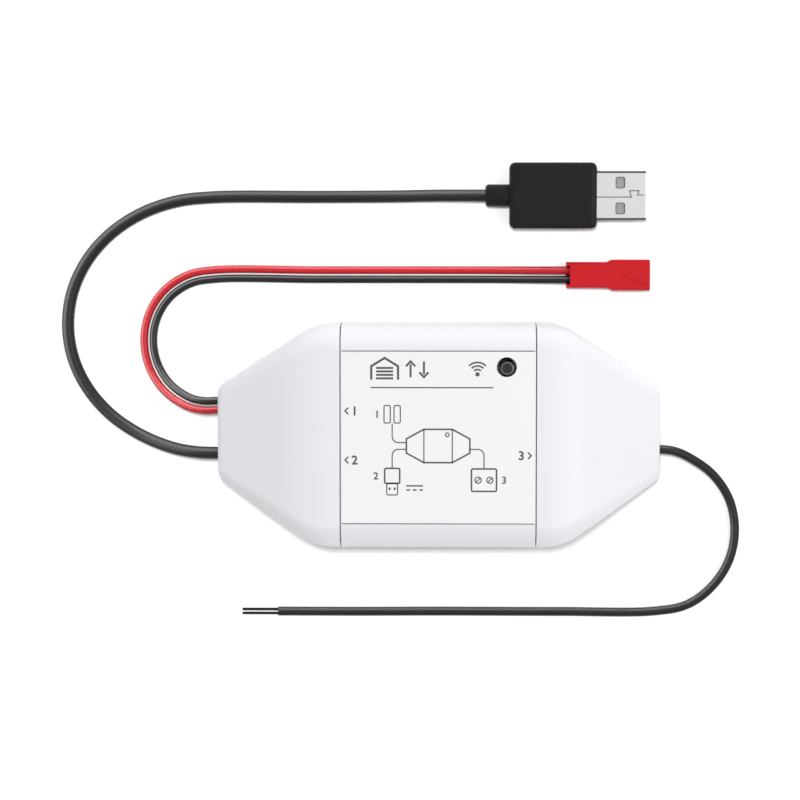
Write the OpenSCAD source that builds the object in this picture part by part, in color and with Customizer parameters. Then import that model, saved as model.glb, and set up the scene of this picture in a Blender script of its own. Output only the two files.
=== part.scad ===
// Garage door controller: a tray with a centre cover and two tapered end caps, a circuit board
// with a push button inside, and three leads that lie beside it.
// X runs along the housing, Z out of its face, and the origin is the centre of its flat back.

/* [Housing] */
// Length over both end caps
body_l = 108; // [104:1:120]
// Width across the centre cover
body_w = 54; // [50:1:62]
// Height of the face above the back
body_h = 26; // [24:0.5:30]
// Length of the centre cover from seam to seam
cover_l = 47; // [42:1:50]
// Width of each flat end wall
end_w = 22.6; // [20:0.2:26]
// Height of the housing at its end walls
end_h = 13; // [12:0.5:17]
// Radius of the shoulders where the sides of the end caps start to taper
side_shoulder_r = 16; // [10:1:20]
// Radius of the shoulders where the face of the end caps starts to slope
face_shoulder_r = 26; // [18:1:28]
// Radius along the long edges of the face
edge_r = 6; // [4:0.5:7]
// Radius of the same edges where they reach the end walls
end_edge_r = 3; // [2:0.5:4]
// Radius around each end wall
end_round = 1.2; // [0.6:0.1:1.6]
// Straight stretch of each end cap beside its seam
cap_flat = 1.5; // [1.2:0.1:2.5]
// Wall thickness of the mouldings
wall = 2; // [1.7:0.1:2.3]
// Floor thickness of the base
floor_t = 2; // [1.6:0.1:2.6]
// Height of the joint line between the base and the covers
joint_z = 7; // [6.5:0.1:7.5]
// Radius around the bottom edge of the base
bottom_r = 2; // [1:0.25:3]
// Open gap at each seam beside the centre cover
seam_gap = 0.25; // [0.1:0.05:0.4]

/* [Lip and hooks] */
// Height of the lip on the base's rim
lip_h = 1.2; // [0.8:0.1:1.6]
// Thickness of the lip
lip_t = 0.8; // [0.6:0.1:1]
// Clearance between mouldings that slide together
fit_gap = 0.1; // [0.05:0.05:0.2]
// Thickness of the tongues that the cover pushes under the end caps
tongue_t = 1; // [0.8:0.1:1.4]
// Distance of each snap hook from the middle of the cover
hook_x = 12; // [8:0.5:16]
// Width of a snap hook
hook_w = 7; // [5:0.5:9]
// Thickness of a snap hook
hook_t = 1.2; // [1:0.1:1.5]
// Depth of a hook's barb in the base wall
barb = 0.5; // [0.3:0.05:0.6]

/* [Label and button] */
// Thickness of the label on the face
label_t = 0.2; // [0.1:0.05:0.3]
// Gap around the label in its recess
label_gap = 0.15; // [0.1:0.05:0.3]
// Distance of the button from the right seam
button_from_seam = 7.1; // [5:0.1:10]
// Distance of the button from the long side of the housing
button_from_side = 10.1; // [9.5:0.1:12]
// How far the switch stands to the right of the hole's centre
switch_off_x = 0.15; // [-0.3:0.05:0.3]
// How far the switch stands above the hole's centre
switch_off_y = -0.3; // [-0.3:0.05:0.3]
// Diameter of the button
button_d = 3.5; // [3:0.1:3.9]
// Diameter of the hole in the face around the button
button_hole_d = 4.8; // [4.6:0.1:6]
// Depth of the button's top below the face
button_recess = 0.6; // [0:0.1:1.5]
// Travel of the button
button_travel = 0.3; // [0.2:0.05:0.4]
// Side of the square switch under the button
switch_w = 6; // [5.8:0.1:6.6]
// Height of the switch without its button
switch_h = 3.5; // [3:0.1:4]

/* [Board] */
// Thickness of the circuit board
board_t = 1.6; // [1:0.2:2]
// Height of the posts that carry the board above the floor
board_post_h = 5.4; // [5:0.1:6]
// Gap from the board's long edges to the base wall
board_side_gap = 4.5; // [4.2:0.1:5.5]
// Gap from the board's ends to the screw towers of the end caps
board_end_gap = 1.5; // [1:0.1:3]
// Distance of the board's screws from its edges
board_screw_in = 4; // [3.5:0.1:5]

/* [Screws] */
// Shank diameter of the screws
screw_d = 2; // [1.8:0.1:2.4]
// Head diameter of the screws
screw_head_d = 4; // [3.6:0.1:4.4]
// Head height of the screws
screw_head_h = 1.4; // [1:0.1:1.6]
// Length of the end cap screws under the head
cap_screw_l = 10; // [8:0.5:11]
// Length of the board screws under the head
board_screw_l = 6; // [4:0.5:6.5]
// Length of the cord clamp screws under the head
clamp_screw_l = 7; // [5.5:0.5:7.5]
// Distance of the end cap screws from the end wall
cap_screw_in = 17.5; // [17:0.5:19]
// Distance of the end cap screws from the middle line
cap_screw_y = 15; // [14:0.5:16]
// Diameter of the towers around the end cap screws
tower_d = 8; // [7.4:0.2:8.4]

/* [Leads] */
// Diameter of the power cord
power_d = 3; // [2.4:0.1:3.4]
// Sideways place of the power cord in the left end wall
power_y = -5.4; // [-6:0.1:-4.5]
// Diameter of each sensor wire
sensor_d = 1.9; // [1.4:0.1:2]
// Distance between the two sensor wires
sensor_pitch = 2.3; // [2.2:0.05:2.5]
// Sideways place of the sensor lead in the left end wall
sensor_y = 6.4; // [5.5:0.1:6.8]
// Diameter of the signal cord
signal_d = 2.2; // [1.8:0.1:2.6]
// Sideways place of the signal cord in the right end wall
signal_y = -4.3; // [-6:0.1:0]
// Diameter of a core in the power cord
power_core_d = 1.2; // [0.8:0.1:1.3]
// Diameter of a core in the signal cord
signal_core_d = 0.65; // [0.4:0.05:0.8]
// Bare length of the signal cores at the far end
signal_core_l = 9; // [4:0.5:15]
// Clearance around a lead in its exit and clamp
lead_gap = 0.1; // [0.05:0.05:0.2]
// Distance of the cord clamps from the end walls
clamp_in = 11; // [10.5:0.1:12]
// Width of a cord clamp along the lead
clamp_w = 4.6; // [4:0.2:5]
// Thickness of a cord clamp
clamp_t = 3; // [2.4:0.1:3.5]
// Distance of a clamp screw from the side of the nearest lead
clamp_screw_out = 2.6; // [2.4:0.1:3]
// Material around a clamp screw
clamp_edge = 2.2; // [2.1:0.1:2.5]
// Gap left between a clamp and its saddle
clamp_gap = 0.5; // [0.2:0.1:1]

/* [Power plug] */
// Width of the plug's metal shell
shell_w = 12; // [11:0.1:13]
// Thickness of the plug's metal shell
shell_t = 4.5; // [4.2:0.1:5]
// Length of the shell in front of the grip
shell_l = 12; // [10:0.1:14]
// Sheet thickness of the shell
shell_wall = 0.3; // [0.2:0.05:0.4]
// Depth of the shell in the grip
shell_root = 5; // [3:0.5:8]
// Length of the grip
grip_l = 21.4; // [18:0.2:26]
// Width of the grip
grip_w = 16.2; // [14:0.2:18]
// Thickness of the grip
grip_t = 8; // [7:0.2:9]
// Edge radius of the grip
grip_r = 1.4; // [0.8:0.1:2.2]
// Length of the neck behind the grip
neck_l = 5.9; // [3:0.1:9]
// Diameter of the neck
neck_d = 5.5; // [4:0.1:6.5]

/* [Sensor plug] */
// Length of the sensor plug
plug_l = 20.4; // [19:0.2:23]
// Width of the plug's shroud
plug_w = 7.5; // [7:0.1:8.5]
// Width of the plug behind the shroud
plug_neck_w = 6.3; // [5.8:0.1:6.8]
// Thickness of the plug
plug_t = 5.6; // [5:0.1:6.4]
// Length of the shroud
shroud_l = 10.4; // [9:0.1:12]
// Wall thickness of the shroud
shroud_wall = 0.9; // [0.7:0.05:1.1]
// Width of the slanted faces along the plug's long edges
plug_chamfer = 0.5; // [0.2:0.05:0.7]
// Diameter of the contact pins
pin_d = 1; // [0.8:0.05:1.2]

/* [Hidden] */
$fn = 48;
eps = 0.01;
// Overshoot of every cut past the face that it opens
cut = 1;

// Shape of the housing: where its taper starts and the angle of its sides and face
seam_x = cover_l / 2;
taper_x = seam_x + cap_flat;
taper_run = body_l / 2 - taper_x;
side_angle = taper_angle(taper_run, (body_w - end_w) / 2, side_shoulder_r);
face_angle = taper_angle(taper_run, body_h - end_h, face_shoulder_r);
shoulder_steps = 9;
corner_steps = 6;
grip_steps = 5;
round_step = 30;
base_step = 0.15;
base_draft = 1.5;

// Label and button
label_w = body_w - 2 * edge_r - 2 * label_gap;
button_x = seam_x - button_from_seam;
button_y = body_w / 2 - button_from_side;
switch_x = button_x + switch_off_x;
switch_y = button_y + switch_off_y;

// Heights and sizes of what stands in the base
board_z = floor_t + board_post_h;
board_top = board_z + board_t;
board_w = body_w - 2 * (wall + board_side_gap);
cap_screw_x = body_l / 2 - cap_screw_in;
board_l = 2 * (cap_screw_x - tower_d / 2 - board_end_gap);
board_r = 1.5;
post_d = 5;
pilot_gap = 0.05;
hole_gap = 0.2;
head_gap = 0.3;
head_sink = 1.4;
tower_top = joint_z - 0.2;
boss_d = tower_d - 1.6;
head_z = head_sink + screw_head_h;

// Snap hooks, measured inwards from the side and up from the back
hook_root_z = joint_z + lip_h + 0.4;
hook_root_h = 4;
hook_tip_z = joint_z - 3.8;
barb_top_z = joint_z - 2;
barb_ramp = 1;
pocket_gap = 0.15;
hook_out = wall + 2 * fit_gap;

// Switch under the button
plate_t = 0.3;
flange_t = 0.6;
flange_d = button_d + 0.8;
slip_gap = 0.08;
seat_gap = 0.03;
plate_z = board_top + switch_h - plate_t;
leg_w = 0.7;
leg_t = 0.3;
leg_pitch = 4.5;
leg_drop = 1.2;
leg_hole_gap = 0.15;

// Cord clamps: each list holds the two screws' places across the housing
clamp_x = body_l / 2 - clamp_in;
saddle_z = joint_z - clamp_gap / 2;
clamp_z = joint_z + clamp_gap / 2;
left_clamp_y = [power_y - power_d / 2 - clamp_screw_out,
                sensor_y + (sensor_pitch + sensor_d) / 2 + clamp_screw_out];
right_clamp_y = [signal_y - signal_d / 2 - clamp_screw_out, signal_y + signal_d / 2 + clamp_screw_out];
jacket_x = clamp_x - clamp_w / 2 - 1.5;
pad_x = board_l / 2 - 3;
rise_x = board_l / 2 + 1;

// Smoothing capacitors beside the board's left edge
can_d = 6.3;
can_pitch = 8;
can_x = board_screw_in + 6 - board_l / 2;
can_y = can_d / 2 + 2 - board_w / 2;

// Power plug and sensor plug: back end of the neck, and back end of the sensor plug
plug_pos = [11.4, 57.9, grip_t / 2];
sensor_plug_pos = [31.4, 38.4, plug_t / 2];
window_l = 2.4;
window_w = 2.9;
window_x = 4.7;
window_y = 3.15;
window_r = 0.4;
neck_round = 0.9;
slit = 0.22;
insert_t = 1.9;
insert_back = 0.6;
insert_gap = 0.05;
insert_z = shell_t / 2 - shell_wall - insert_gap - insert_t;
shell_corner = 0.6;
contact_w = 1;
contact_t = 0.2;
contact_pitch = 2.3;
contact_l = 7.4;
shroud_depth = 9;
flare_l = 1.2;
entry_l = 3;
barrel_gap = 0.1;

// Routes of the leads, along their middle lines
power_route = concat(
    [[-jacket_x, power_y, joint_z], [-body_l / 2, power_y, joint_z]],
    [[-60, -5.2, 6.6], [-66, -4.2, 5.2], [-74, -1.2, 3], [-81.5, 3.7, 1.8], [-87.2, 10.2, 1.5],
     [-90.8, 17.8, 1.5], [-92, 26, 1.5], [-90.8, 34.2, 1.5], [-87.2, 41.8, 1.5], [-81.5, 48.3, 1.5],
     [-74, 53.3, 1.5], [-65.3, 56.4, 1.5], [-56, 57.5, 1.5], [-30, 57.6, 1.5], [-12, 57.7, 2],
     [0, 57.9, 3.4]],
    [plug_pos - [5, 0, 0], plug_pos]);
sensor_route = concat(
    [[-pad_x, sensor_y, board_top + sensor_d / 2 + eps], [-rise_x, sensor_y, board_top + sensor_d / 2 + 0.1],
     [-jacket_x, sensor_y, joint_z], [-body_l / 2, sensor_y, joint_z]],
    [[-58, 6.3, 6.7], [-62, 7.2, 5.6], [-67.3, 10.7, 3.6], [-70.8, 16, 1.9], [-72, 22.2, 1.1],
     [-70.8, 28.4, 1], [-67.3, 33.7, 1], [-62, 37.2, 1], [-55.8, 38.4, 1], [-30, 38.4, 1],
     [0, 38.4, 1], [16, 38.4, 1.4]],
    [sensor_plug_pos - [6, 0, 0], sensor_plug_pos + [entry_l, 0, 0]]);
signal_route = concat(
    [[jacket_x, signal_y, joint_z], [body_l / 2, signal_y, joint_z]],
    [[58, -4.8, 6.7], [62, -6.6, 5.5], [67.8, -10.9, 3.4], [72.1, -17.4, 1.7], [73.5, -25.1, 1.2],
     [72, -32.8, 1.1], [67.7, -39.3, 1.1], [61.8, -43.6, 1.1], [54, -45.2, 1.1], [30, -45.4, 1.1],
     [0, -45.4, 1.1], [-20, -45.5, 1.1], [-40, -45.5, 1.1]]);

// Angle of a taper that starts on an arc of radius r and drops by drop over run
function taper_angle(run, drop, r) = asin(r / norm([run, r - drop])) - atan2(r - drop, run);

// Drop of that taper at distance t from its start, r and a being its arc and angle
function taper_drop(t, r, a) =
    t <= 0 ? 0
    : t < r * sin(a) ? r - sqrt(r * r - t * t)
    : r * (1 - cos(a)) + (t - r * sin(a)) * tan(a);

// Half width, top and edge radius of the housing at x, for a surface d inside its outer face
function half_w(x, d) = body_w / 2 - d - taper_drop(x - taper_x, side_shoulder_r - d, side_angle);
function top_z(x, d) = body_h - d - taper_drop(x - taper_x, face_shoulder_r - d, face_angle);
function edge_radius(x, d) =
    let (along = max(0, min(1, (x - seam_x) / (body_l / 2 - seam_x))))
    max(edge_r + (end_edge_r - edge_r) * along - d, 0.5);

// Places along a tapered end, each with how far the rounded end wall has pulled in there
function stations(d) =
    let (reach = max((side_shoulder_r - d) * sin(side_angle), (face_shoulder_r - d) * sin(face_angle)),
         e = max(end_round - d, 0.2))
    concat([for (k = [0:shoulder_steps]) [taper_x + reach * k / shoulder_steps, 0]],
           [for (a = [0:round_step:90]) [body_l / 2 - d - e + e * sin(a), e * (1 - cos(a))]]);

// Outline of the housing seen on its face, d inside its outer walls
function quarter(d) = [for (s = stations(d)) [s[0], half_w(s[0], d) - s[1]]];
function reversed(list) = [for (i = [len(list) - 1:-1:0]) list[i]];
function outline(d) =
    let (q = quarter(d))
    concat(q, [for (p = reversed(q)) [p[0], -p[1]]], [for (p = q) -p], [for (p = reversed(q)) [-p[0], p[1]]]);

// Section of a right-hand end cap at station s, from the joint line over the top and down
function cap_ring(s, d, bottom) =
    let (x = s[0], w = half_w(x, d) - s[1], h = top_z(x, d) - s[1], r = edge_radius(x, d))
    concat([[x, -w, bottom]],
           [for (k = [0:corner_steps]) let (a = 180 - 90 * k / corner_steps)
               [x, r - w + r * cos(a), h - r + r * sin(a)]],
           [for (k = [0:corner_steps]) let (a = 90 - 90 * k / corner_steps)
               [x, w - r + r * cos(a), h - r + r * sin(a)]],
           [[x, w, bottom]]);

// Solid skinned over closed rings of points, which turn anticlockwise seen along the way they advance
module skin(rings) {
    n = len(rings[0]);
    last = (len(rings) - 1) * n;
    sides = [for (i = [0:len(rings) - 2], j = [0:n - 1])
        let (a = i * n + j, b = i * n + (j + 1) % n)
        each [[a, b, b + n], [a, b + n, a + n]]];
    ends = [[for (j = [n - 1:-1:0]) j], [for (j = [0:n - 1]) last + j]];
    polyhedron([for (r = rings) each r], concat(sides, ends), convexity = 6);
}

// Rings of an eight-sided tube along a route, and the route moved sideways by offset
function unit(v) = v / norm(v);
function heading(path, i) = unit(path[min(i + 1, len(path) - 1)] - path[max(i - 1, 0)]);
function beside(path, i) = unit(cross([0, 0, 1], heading(path, i)));
function moved(path, offset) = [for (i = [0:len(path) - 1]) path[i] + offset * beside(path, i)];
function tube_rings(path, d) =
    [for (i = [0:len(path) - 1])
        let (s = beside(path, i), u = cross(heading(path, i), s))
        [for (k = [7:-1:0]) path[i] + d / 2 * (cos(45 * k + 22.5) * s + sin(45 * k + 22.5) * u)]];
module tube(path, d) {
    skin(tube_rings(path, d));
}

module rounded_rect(l, w, r) {
    square([l - 2 * r, w], center = true);
    square([l, w - 2 * r], center = true);
    for (x = [-1, 1], y = [-1, 1]) translate([x * (l / 2 - r), y * (w / 2 - r)]) circle(r);
}

// Flat strip of width w from point a to point b
module strip(a, b, w) {
    translate(a) rotate(atan2(b[1] - a[1], b[0] - a[0])) translate([-w / 2, -w / 2])
        square([norm(b - a) + w, w]);
}

module rounded_block(l, w, h, r) {
    linear_extrude(h) rounded_rect(l, w, r);
}

// Pan head screw with a cross recess, its head's seat at the origin and its shank along -Z
module screw(length) {
    recess_w = 0.7;
    recess_l = screw_head_d * 0.6;
    dome = 0.4;
    tip = 0.8;
    difference() {
        rotate_extrude() polygon([[0, -length], [screw_d / 2 - 0.5, -length], [screw_d / 2, tip - length],
            [screw_d / 2, 0], [screw_head_d / 2, 0], [screw_head_d / 2, screw_head_h - dome],
            [screw_head_d / 2 - dome, screw_head_h], [0, screw_head_h]]);
        for (a = [0, 90]) rotate(a) translate([-recess_l / 2, -recess_w / 2, screw_head_h - 0.8])
            cube([recess_l, recess_w, 0.8 + cut]);
    }
}

module at_cap_screws() {
    for (x = [-1, 1], y = [-1, 1]) translate([x * cap_screw_x, y * cap_screw_y, 0]) children();
}

module at_board_screws() {
    for (x = [-1, 1], y = [-1, 1])
        translate([x * (board_l / 2 - board_screw_in), y * (board_w / 2 - board_screw_in), 0]) children();
}

module at_clamp_screws() {
    for (y = left_clamp_y) translate([-clamp_x, y, 0]) children();
    for (y = right_clamp_y) translate([clamp_x, y, 0]) children();
}

// Round passages of the leads through the end walls and the clamps
module lead_bore(y, d) {
    translate([0, y, joint_z]) rotate([0, 90, 0]) cylinder(d = d + 2 * lead_gap, h = body_l / 2 + cut);
}

module left_passages() {
    mirror([1, 0, 0]) lead_bore(power_y, power_d);
    mirror([1, 0, 0]) for (side = [-1, 1]) lead_bore(sensor_y + side * sensor_pitch / 2, sensor_d);
    translate([-body_l / 2 - cut, sensor_y - sensor_pitch / 2, joint_z - sensor_d / 2 - lead_gap])
        cube([body_l / 2 + cut, sensor_pitch, sensor_d + 2 * lead_gap]);
}

module right_passages() {
    lead_bore(signal_y, signal_d);
}

// Slot above a passage, through which its lead drops past the lip
module lead_drop(y, w) {
    translate([clamp_x, y - w / 2 - lead_gap, joint_z]) cube([clamp_in + cut, w + 2 * lead_gap, body_h]);
}

// Saddle and bar share this outline around their two screws
module clamp_outline(ys) {
    translate([0, (ys[0] + ys[1]) / 2])
        rounded_rect(clamp_w, ys[1] - ys[0] + 2 * clamp_edge, clamp_edge - 0.2);
}

module base_body() {
    arc = [for (a = [0:22.5:90]) [bottom_r * (1 - cos(a)), bottom_r * (1 - sin(a))]];
    edges = concat([for (p = arc) [p[0], p[1] + base_step + (joint_z - p[0]) * tan(base_draft)]],
                   [[joint_z, base_step]]);
    skin([for (e = edges) [for (q = outline(e[1])) [q[0], q[1], e[0]]]]);
}

module base_shell() {
    color("whitesmoke") difference() {
        union() {
            difference() {
                union() {
                    base_body();
                    translate([0, 0, joint_z - cut]) linear_extrude(lip_h + cut)
                        polygon(outline(wall - lip_t));
                }
                translate([0, 0, floor_t]) linear_extrude(body_h) polygon(outline(wall));
            }
            translate([0, 0, floor_t / 2]) {
                at_cap_screws() cylinder(d = tower_d, h = tower_top - floor_t / 2);
                at_board_screws() cylinder(d = post_d, h = board_z - floor_t / 2);
                linear_extrude(saddle_z - floor_t / 2) {
                    translate([-clamp_x, 0]) clamp_outline(left_clamp_y);
                    translate([clamp_x, 0]) clamp_outline(right_clamp_y);
                }
            }
        }
        left_passages();
        right_passages();
        lead_drop(signal_y, signal_d);
        mirror([1, 0, 0]) {
            lead_drop(power_y, power_d);
            lead_drop(sensor_y, sensor_pitch + sensor_d);
        }
        at_cap_screws() {
            translate([0, 0, -cut]) cylinder(d = screw_head_d + 2 * head_gap, h = head_z + cut);
            cylinder(d = screw_d + 2 * hole_gap, h = body_h);
        }
        at_board_screws() translate([0, 0, floor_t]) cylinder(d = screw_d + 2 * pilot_gap, h = body_h);
        at_clamp_screws() translate([0, 0, floor_t]) cylinder(d = screw_d + 2 * pilot_gap, h = body_h);
        for (x = [-1, 1], y = [0, 1]) mirror([0, y, 0])
            translate([x * hook_x - hook_w / 2 - pocket_gap, body_w / 2 - wall - cut,
                       hook_tip_z - 2 * pocket_gap])
                cube([hook_w + 2 * pocket_gap, barb + pocket_gap + cut,
                      barb_top_z - hook_tip_z + 3 * pocket_gap]);
    }
}

// Section across the centre cover, d inside its outer face and above height bottom
module cover_section(d, bottom) {
    r = edge_r - d;
    for (side = [-1, 1]) translate([side * (body_w / 2 - edge_r), body_h - edge_r]) circle(r);
    translate([d - body_w / 2, bottom]) square([body_w - 2 * d, body_h - edge_r - bottom]);
    translate([edge_r - body_w / 2, bottom]) square([body_w - 2 * edge_r, body_h - d - bottom]);
}

// Stretch of a section along X between two places
module along_x(from, to) {
    translate([from, 0, 0]) rotate([90, 0, 90]) linear_extrude(to - from) children();
}

module snap_hook() {
    y0 = body_w / 2;
    along_x(-hook_w / 2, hook_w / 2) polygon([
        [y0 - wall + fit_gap, hook_root_z + hook_root_h],
        [y0 - hook_out - hook_t, hook_root_z + hook_root_h - hook_t],
        [y0 - hook_out - hook_t, hook_tip_z], [y0 - hook_out, hook_tip_z],
        [y0 - wall + barb, hook_tip_z + barb_ramp], [y0 - wall + barb, barb_top_z],
        [y0 - hook_out, barb_top_z], [y0 - hook_out, hook_root_z], [y0 - wall + fit_gap, hook_root_z]]);
}

module centre_cover() {
    cover_end = seam_x - seam_gap / 2;
    tongue_end = taper_x - fit_gap;
    tongue_root = 3;
    tongue_in = wall + fit_gap;
    rebate = wall - lip_t - fit_gap;
    lip_top = joint_z + lip_h + fit_gap;
    recess_w = label_w + 2 * label_gap;
    color("white") difference() {
        union() {
            difference() {
                along_x(-cover_end, cover_end) difference() {
                    cover_section(0, joint_z);
                    cover_section(wall, joint_z - cut);
                    translate([rebate - body_w / 2, joint_z - cut])
                        square([body_w - 2 * rebate, lip_top - joint_z + cut]);
                }
                translate([-seam_x, -recess_w / 2, body_h - label_t])
                    cube([cover_l, recess_w, label_t + cut]);
            }
            for (side = [0, 1]) mirror([side, 0, 0]) {
                along_x(cover_end - tongue_root, cover_end) difference() {
                    cover_section(wall - fit_gap, lip_top + fit_gap);
                    cover_section(tongue_in + tongue_t, joint_z);
                }
                along_x(cover_end - tongue_root, tongue_end) difference() {
                    cover_section(tongue_in, lip_top + fit_gap);
                    cover_section(tongue_in + tongue_t, joint_z);
                }
            }
            for (x = [-1, 1], y = [0, 1]) translate([x * hook_x, 0, 0]) mirror([0, y, 0]) snap_hook();
        }
        translate([button_x, button_y, board_top]) cylinder(d = button_hole_d, h = body_h);
    }
}

// Solid of a right-hand end cap, d inside its outer face, from x = start and above height bottom
module cap_solid(d, start, bottom) {
    skin([for (s = concat([[start, 0]], stations(d))) cap_ring(s, d, bottom)]);
}

module end_cap() {
    cap_start = seam_x + seam_gap / 2;
    rebate = wall - lip_t - fit_gap;
    difference() {
        union() {
            difference() {
                cap_solid(0, cap_start, joint_z);
                cap_solid(wall, cap_start - cut, joint_z - cut);
            }
            intersection() {
                for (y = [-1, 1]) translate([cap_screw_x, y * cap_screw_y, joint_z])
                    cylinder(d = boss_d, h = body_h);
                cap_solid(wall / 2, cap_start, joint_z);
            }
        }
        translate([0, 0, joint_z - cut]) linear_extrude(lip_h + fit_gap + cut) difference() {
            polygon(outline(rebate));
            polygon(outline(wall + eps));
        }
        for (y = [-1, 1]) translate([cap_screw_x, y * cap_screw_y, joint_z - cut])
            cylinder(d = screw_d + 2 * pilot_gap, h = head_z + cap_screw_l - joint_z + cut + 0.5);
    }
}

module left_end_cap() {
    color("white") difference() {
        mirror([1, 0, 0]) end_cap();
        left_passages();
    }
}

module right_end_cap() {
    color("white") difference() {
        end_cap();
        right_passages();
    }
}

module face_label() {
    label_l = cover_l - seam_gap - 2 * label_gap;
    color("snow") difference() {
        translate([-label_l / 2, -label_w / 2, body_h - label_t]) cube([label_l, label_w, label_t]);
        translate([button_x, button_y, body_h - label_t - cut])
            cylinder(d = button_hole_d, h = label_t + 2 * cut);
    }
}

module cap_screws() {
    color("silver") at_cap_screws() translate([0, 0, head_z]) mirror([0, 0, 1]) screw(cap_screw_l);
}

module circuit_board() {
    color("darkgreen") difference() {
        translate([0, 0, board_z]) rounded_block(board_l, board_w, board_t, board_r);
        at_board_screws() cylinder(d = screw_d + 2 * hole_gap, h = body_h);
        at_switch_legs() cylinder(d = norm([leg_w, leg_t]) + 2 * leg_hole_gap, h = body_h);
    }
}

module board_screws() {
    color("silver") at_board_screws() translate([0, 0, board_top]) screw(board_screw_l);
}

module at_switch_legs() {
    for (x = [-1, 1], y = [-1, 1])
        translate([switch_x + x * (switch_w + leg_t) / 2, switch_y + y * leg_pitch / 2, 0]) children();
}

module switch_body() {
    cup_d = flange_d + 4 * slip_gap;
    cup_h = flange_t + button_travel + 4 * seat_gap;
    color("black") translate([switch_x, switch_y, 0]) difference() {
        translate([0, 0, board_top]) rounded_block(switch_w, switch_w, switch_h - plate_t, 0.4);
        translate([0, 0, plate_z - cup_h]) cylinder(d = cup_d, h = cup_h + cut);
    }
}

module switch_plate() {
    color("silver") translate([switch_x, switch_y, plate_z]) difference() {
        rounded_block(switch_w, switch_w, plate_t, 0.4);
        translate([0, 0, -cut]) cylinder(d = button_d + 2 * slip_gap, h = plate_t + 2 * cut);
    }
}

module switch_legs() {
    shoulder = 0.9;
    color("silver") at_switch_legs() translate([-leg_t / 2, -leg_w / 2, board_z - leg_drop])
        cube([leg_t, leg_w, board_t + leg_drop + shoulder]);
}

// Tall button of the switch: a flange under the plate, a shaft and a bevelled top
module push_button() {
    top = body_h - button_recess;
    bevel = 0.35;
    color("dimgray") translate([switch_x, switch_y, 0]) rotate_extrude() polygon([
        [0, plate_z - seat_gap - flange_t], [flange_d / 2, plate_z - seat_gap - flange_t],
        [flange_d / 2, plate_z - seat_gap], [button_d / 2, plate_z - seat_gap],
        [button_d / 2, top - bevel], [button_d / 2 - bevel, top], [0, top]]);
}

// Radio on a small board with half-round edge contacts, which stands on the circuit board
radio_l = 24;
radio_w = 16;
radio_t = 0.8;
radio_pos = [switch_x - switch_w / 2 - 15, board_w / 2 - radio_w / 2 - 1, board_top];
module radio_board() {
    contact_r = 0.4;
    contact_n = 8;
    pitch = 2;
    color("navy") translate(radio_pos) difference() {
        rounded_block(radio_l, radio_w, radio_t, 0.5);
        for (k = [0:contact_n - 1], y = [-1, 1])
            translate([(k - contact_n + 1) * pitch + radio_l / 2 - 2, y * radio_w / 2, -cut])
                cylinder(r = contact_r, h = radio_t + 2 * cut);
    }
}

module radio_shield() {
    can_l = 15;
    can_w = 12;
    can_h = 2.2;
    color("silver") translate(radio_pos + [radio_l / 2 - can_l / 2 - 1.2, 0, radio_t])
        rounded_block(can_l, can_w, can_h, 0.6);
}

module relay() {
    relay_l = 18;
    relay_w = 10;
    relay_h = 12.5;
    rim_h = 1;
    rim = 0.3;
    relay_x = board_l / 2 - board_screw_in - 4 - relay_l / 2;
    color("gold") translate([relay_x, 1 - board_w / 2 + relay_w / 2, board_top]) {
        rounded_block(relay_l, relay_w, rim_h, 0.6);
        rounded_block(relay_l - 2 * rim, relay_w - 2 * rim, relay_h, 0.6);
    }
}

// Two smoothing capacitors with a crimped foot and a bevelled can
module capacitors() {
    can_h = 11;
    groove = 0.35;
    color("midnightblue") for (k = [0, 1]) translate([can_x + k * can_pitch, can_y, board_top])
            rotate_extrude() polygon([[0, 0], [can_d / 2, 0], [can_d / 2, 1.2], [can_d / 2 - groove, 1.6],
                [can_d / 2, 2], [can_d / 2, can_h - 0.5], [can_d / 2 - 0.5, can_h], [0, can_h]]);
}

module voltage_regulator() {
    pkg_l = 6.5;
    pkg_w = 3.5;
    pkg_h = 1.6;
    lead_w = 0.7;
    lead_l = 1.8;
    can_gap = 1;
    regulator_y = can_y + can_d / 2 + can_gap + lead_l + pkg_w / 2;
    color("black") translate([can_x + can_pitch / 2, regulator_y, board_top]) {
        translate([-pkg_l / 2, -pkg_w / 2, 0.1]) cube([pkg_l, pkg_w, pkg_h]);
        for (k = [-1:1]) translate([k * 2.3 - lead_w / 2, -pkg_w / 2 - lead_l, 0])
            cube([lead_w, lead_l + 0.5, 0.3]);
        translate([-1.5, pkg_w / 2 - 0.5, 0]) cube([3, lead_l + 0.5, 0.3]);
    }
}

// Transistor and diode that drive the relay's coil
module relay_driver() {
    color("black") translate([board_l / 2 - board_screw_in - 10, 16 - board_w / 2, board_top]) {
        translate([-1.45, -0.65, 0]) cube([2.9, 1.3, 1.1]);
        translate([4, -1.3, 0]) rounded_block(4.3, 2.6, 2.2, 0.3);
    }
}

module cord_clamp(ys) {
    difference() {
        translate([0, 0, clamp_z]) linear_extrude(clamp_t) clamp_outline(ys);
        for (y = ys) translate([0, y, 0]) cylinder(d = screw_d + 2 * hole_gap, h = body_h);
    }
}

module left_cord_clamp() {
    color("gainsboro") difference() {
        translate([-clamp_x, 0, 0]) cord_clamp(left_clamp_y);
        left_passages();
    }
}

module right_cord_clamp() {
    color("gainsboro") difference() {
        translate([clamp_x, 0, 0]) cord_clamp(right_clamp_y);
        right_passages();
    }
}

module clamp_screws() {
    color("silver") at_clamp_screws() translate([0, 0, clamp_z + clamp_t]) screw(clamp_screw_l);
}

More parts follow.
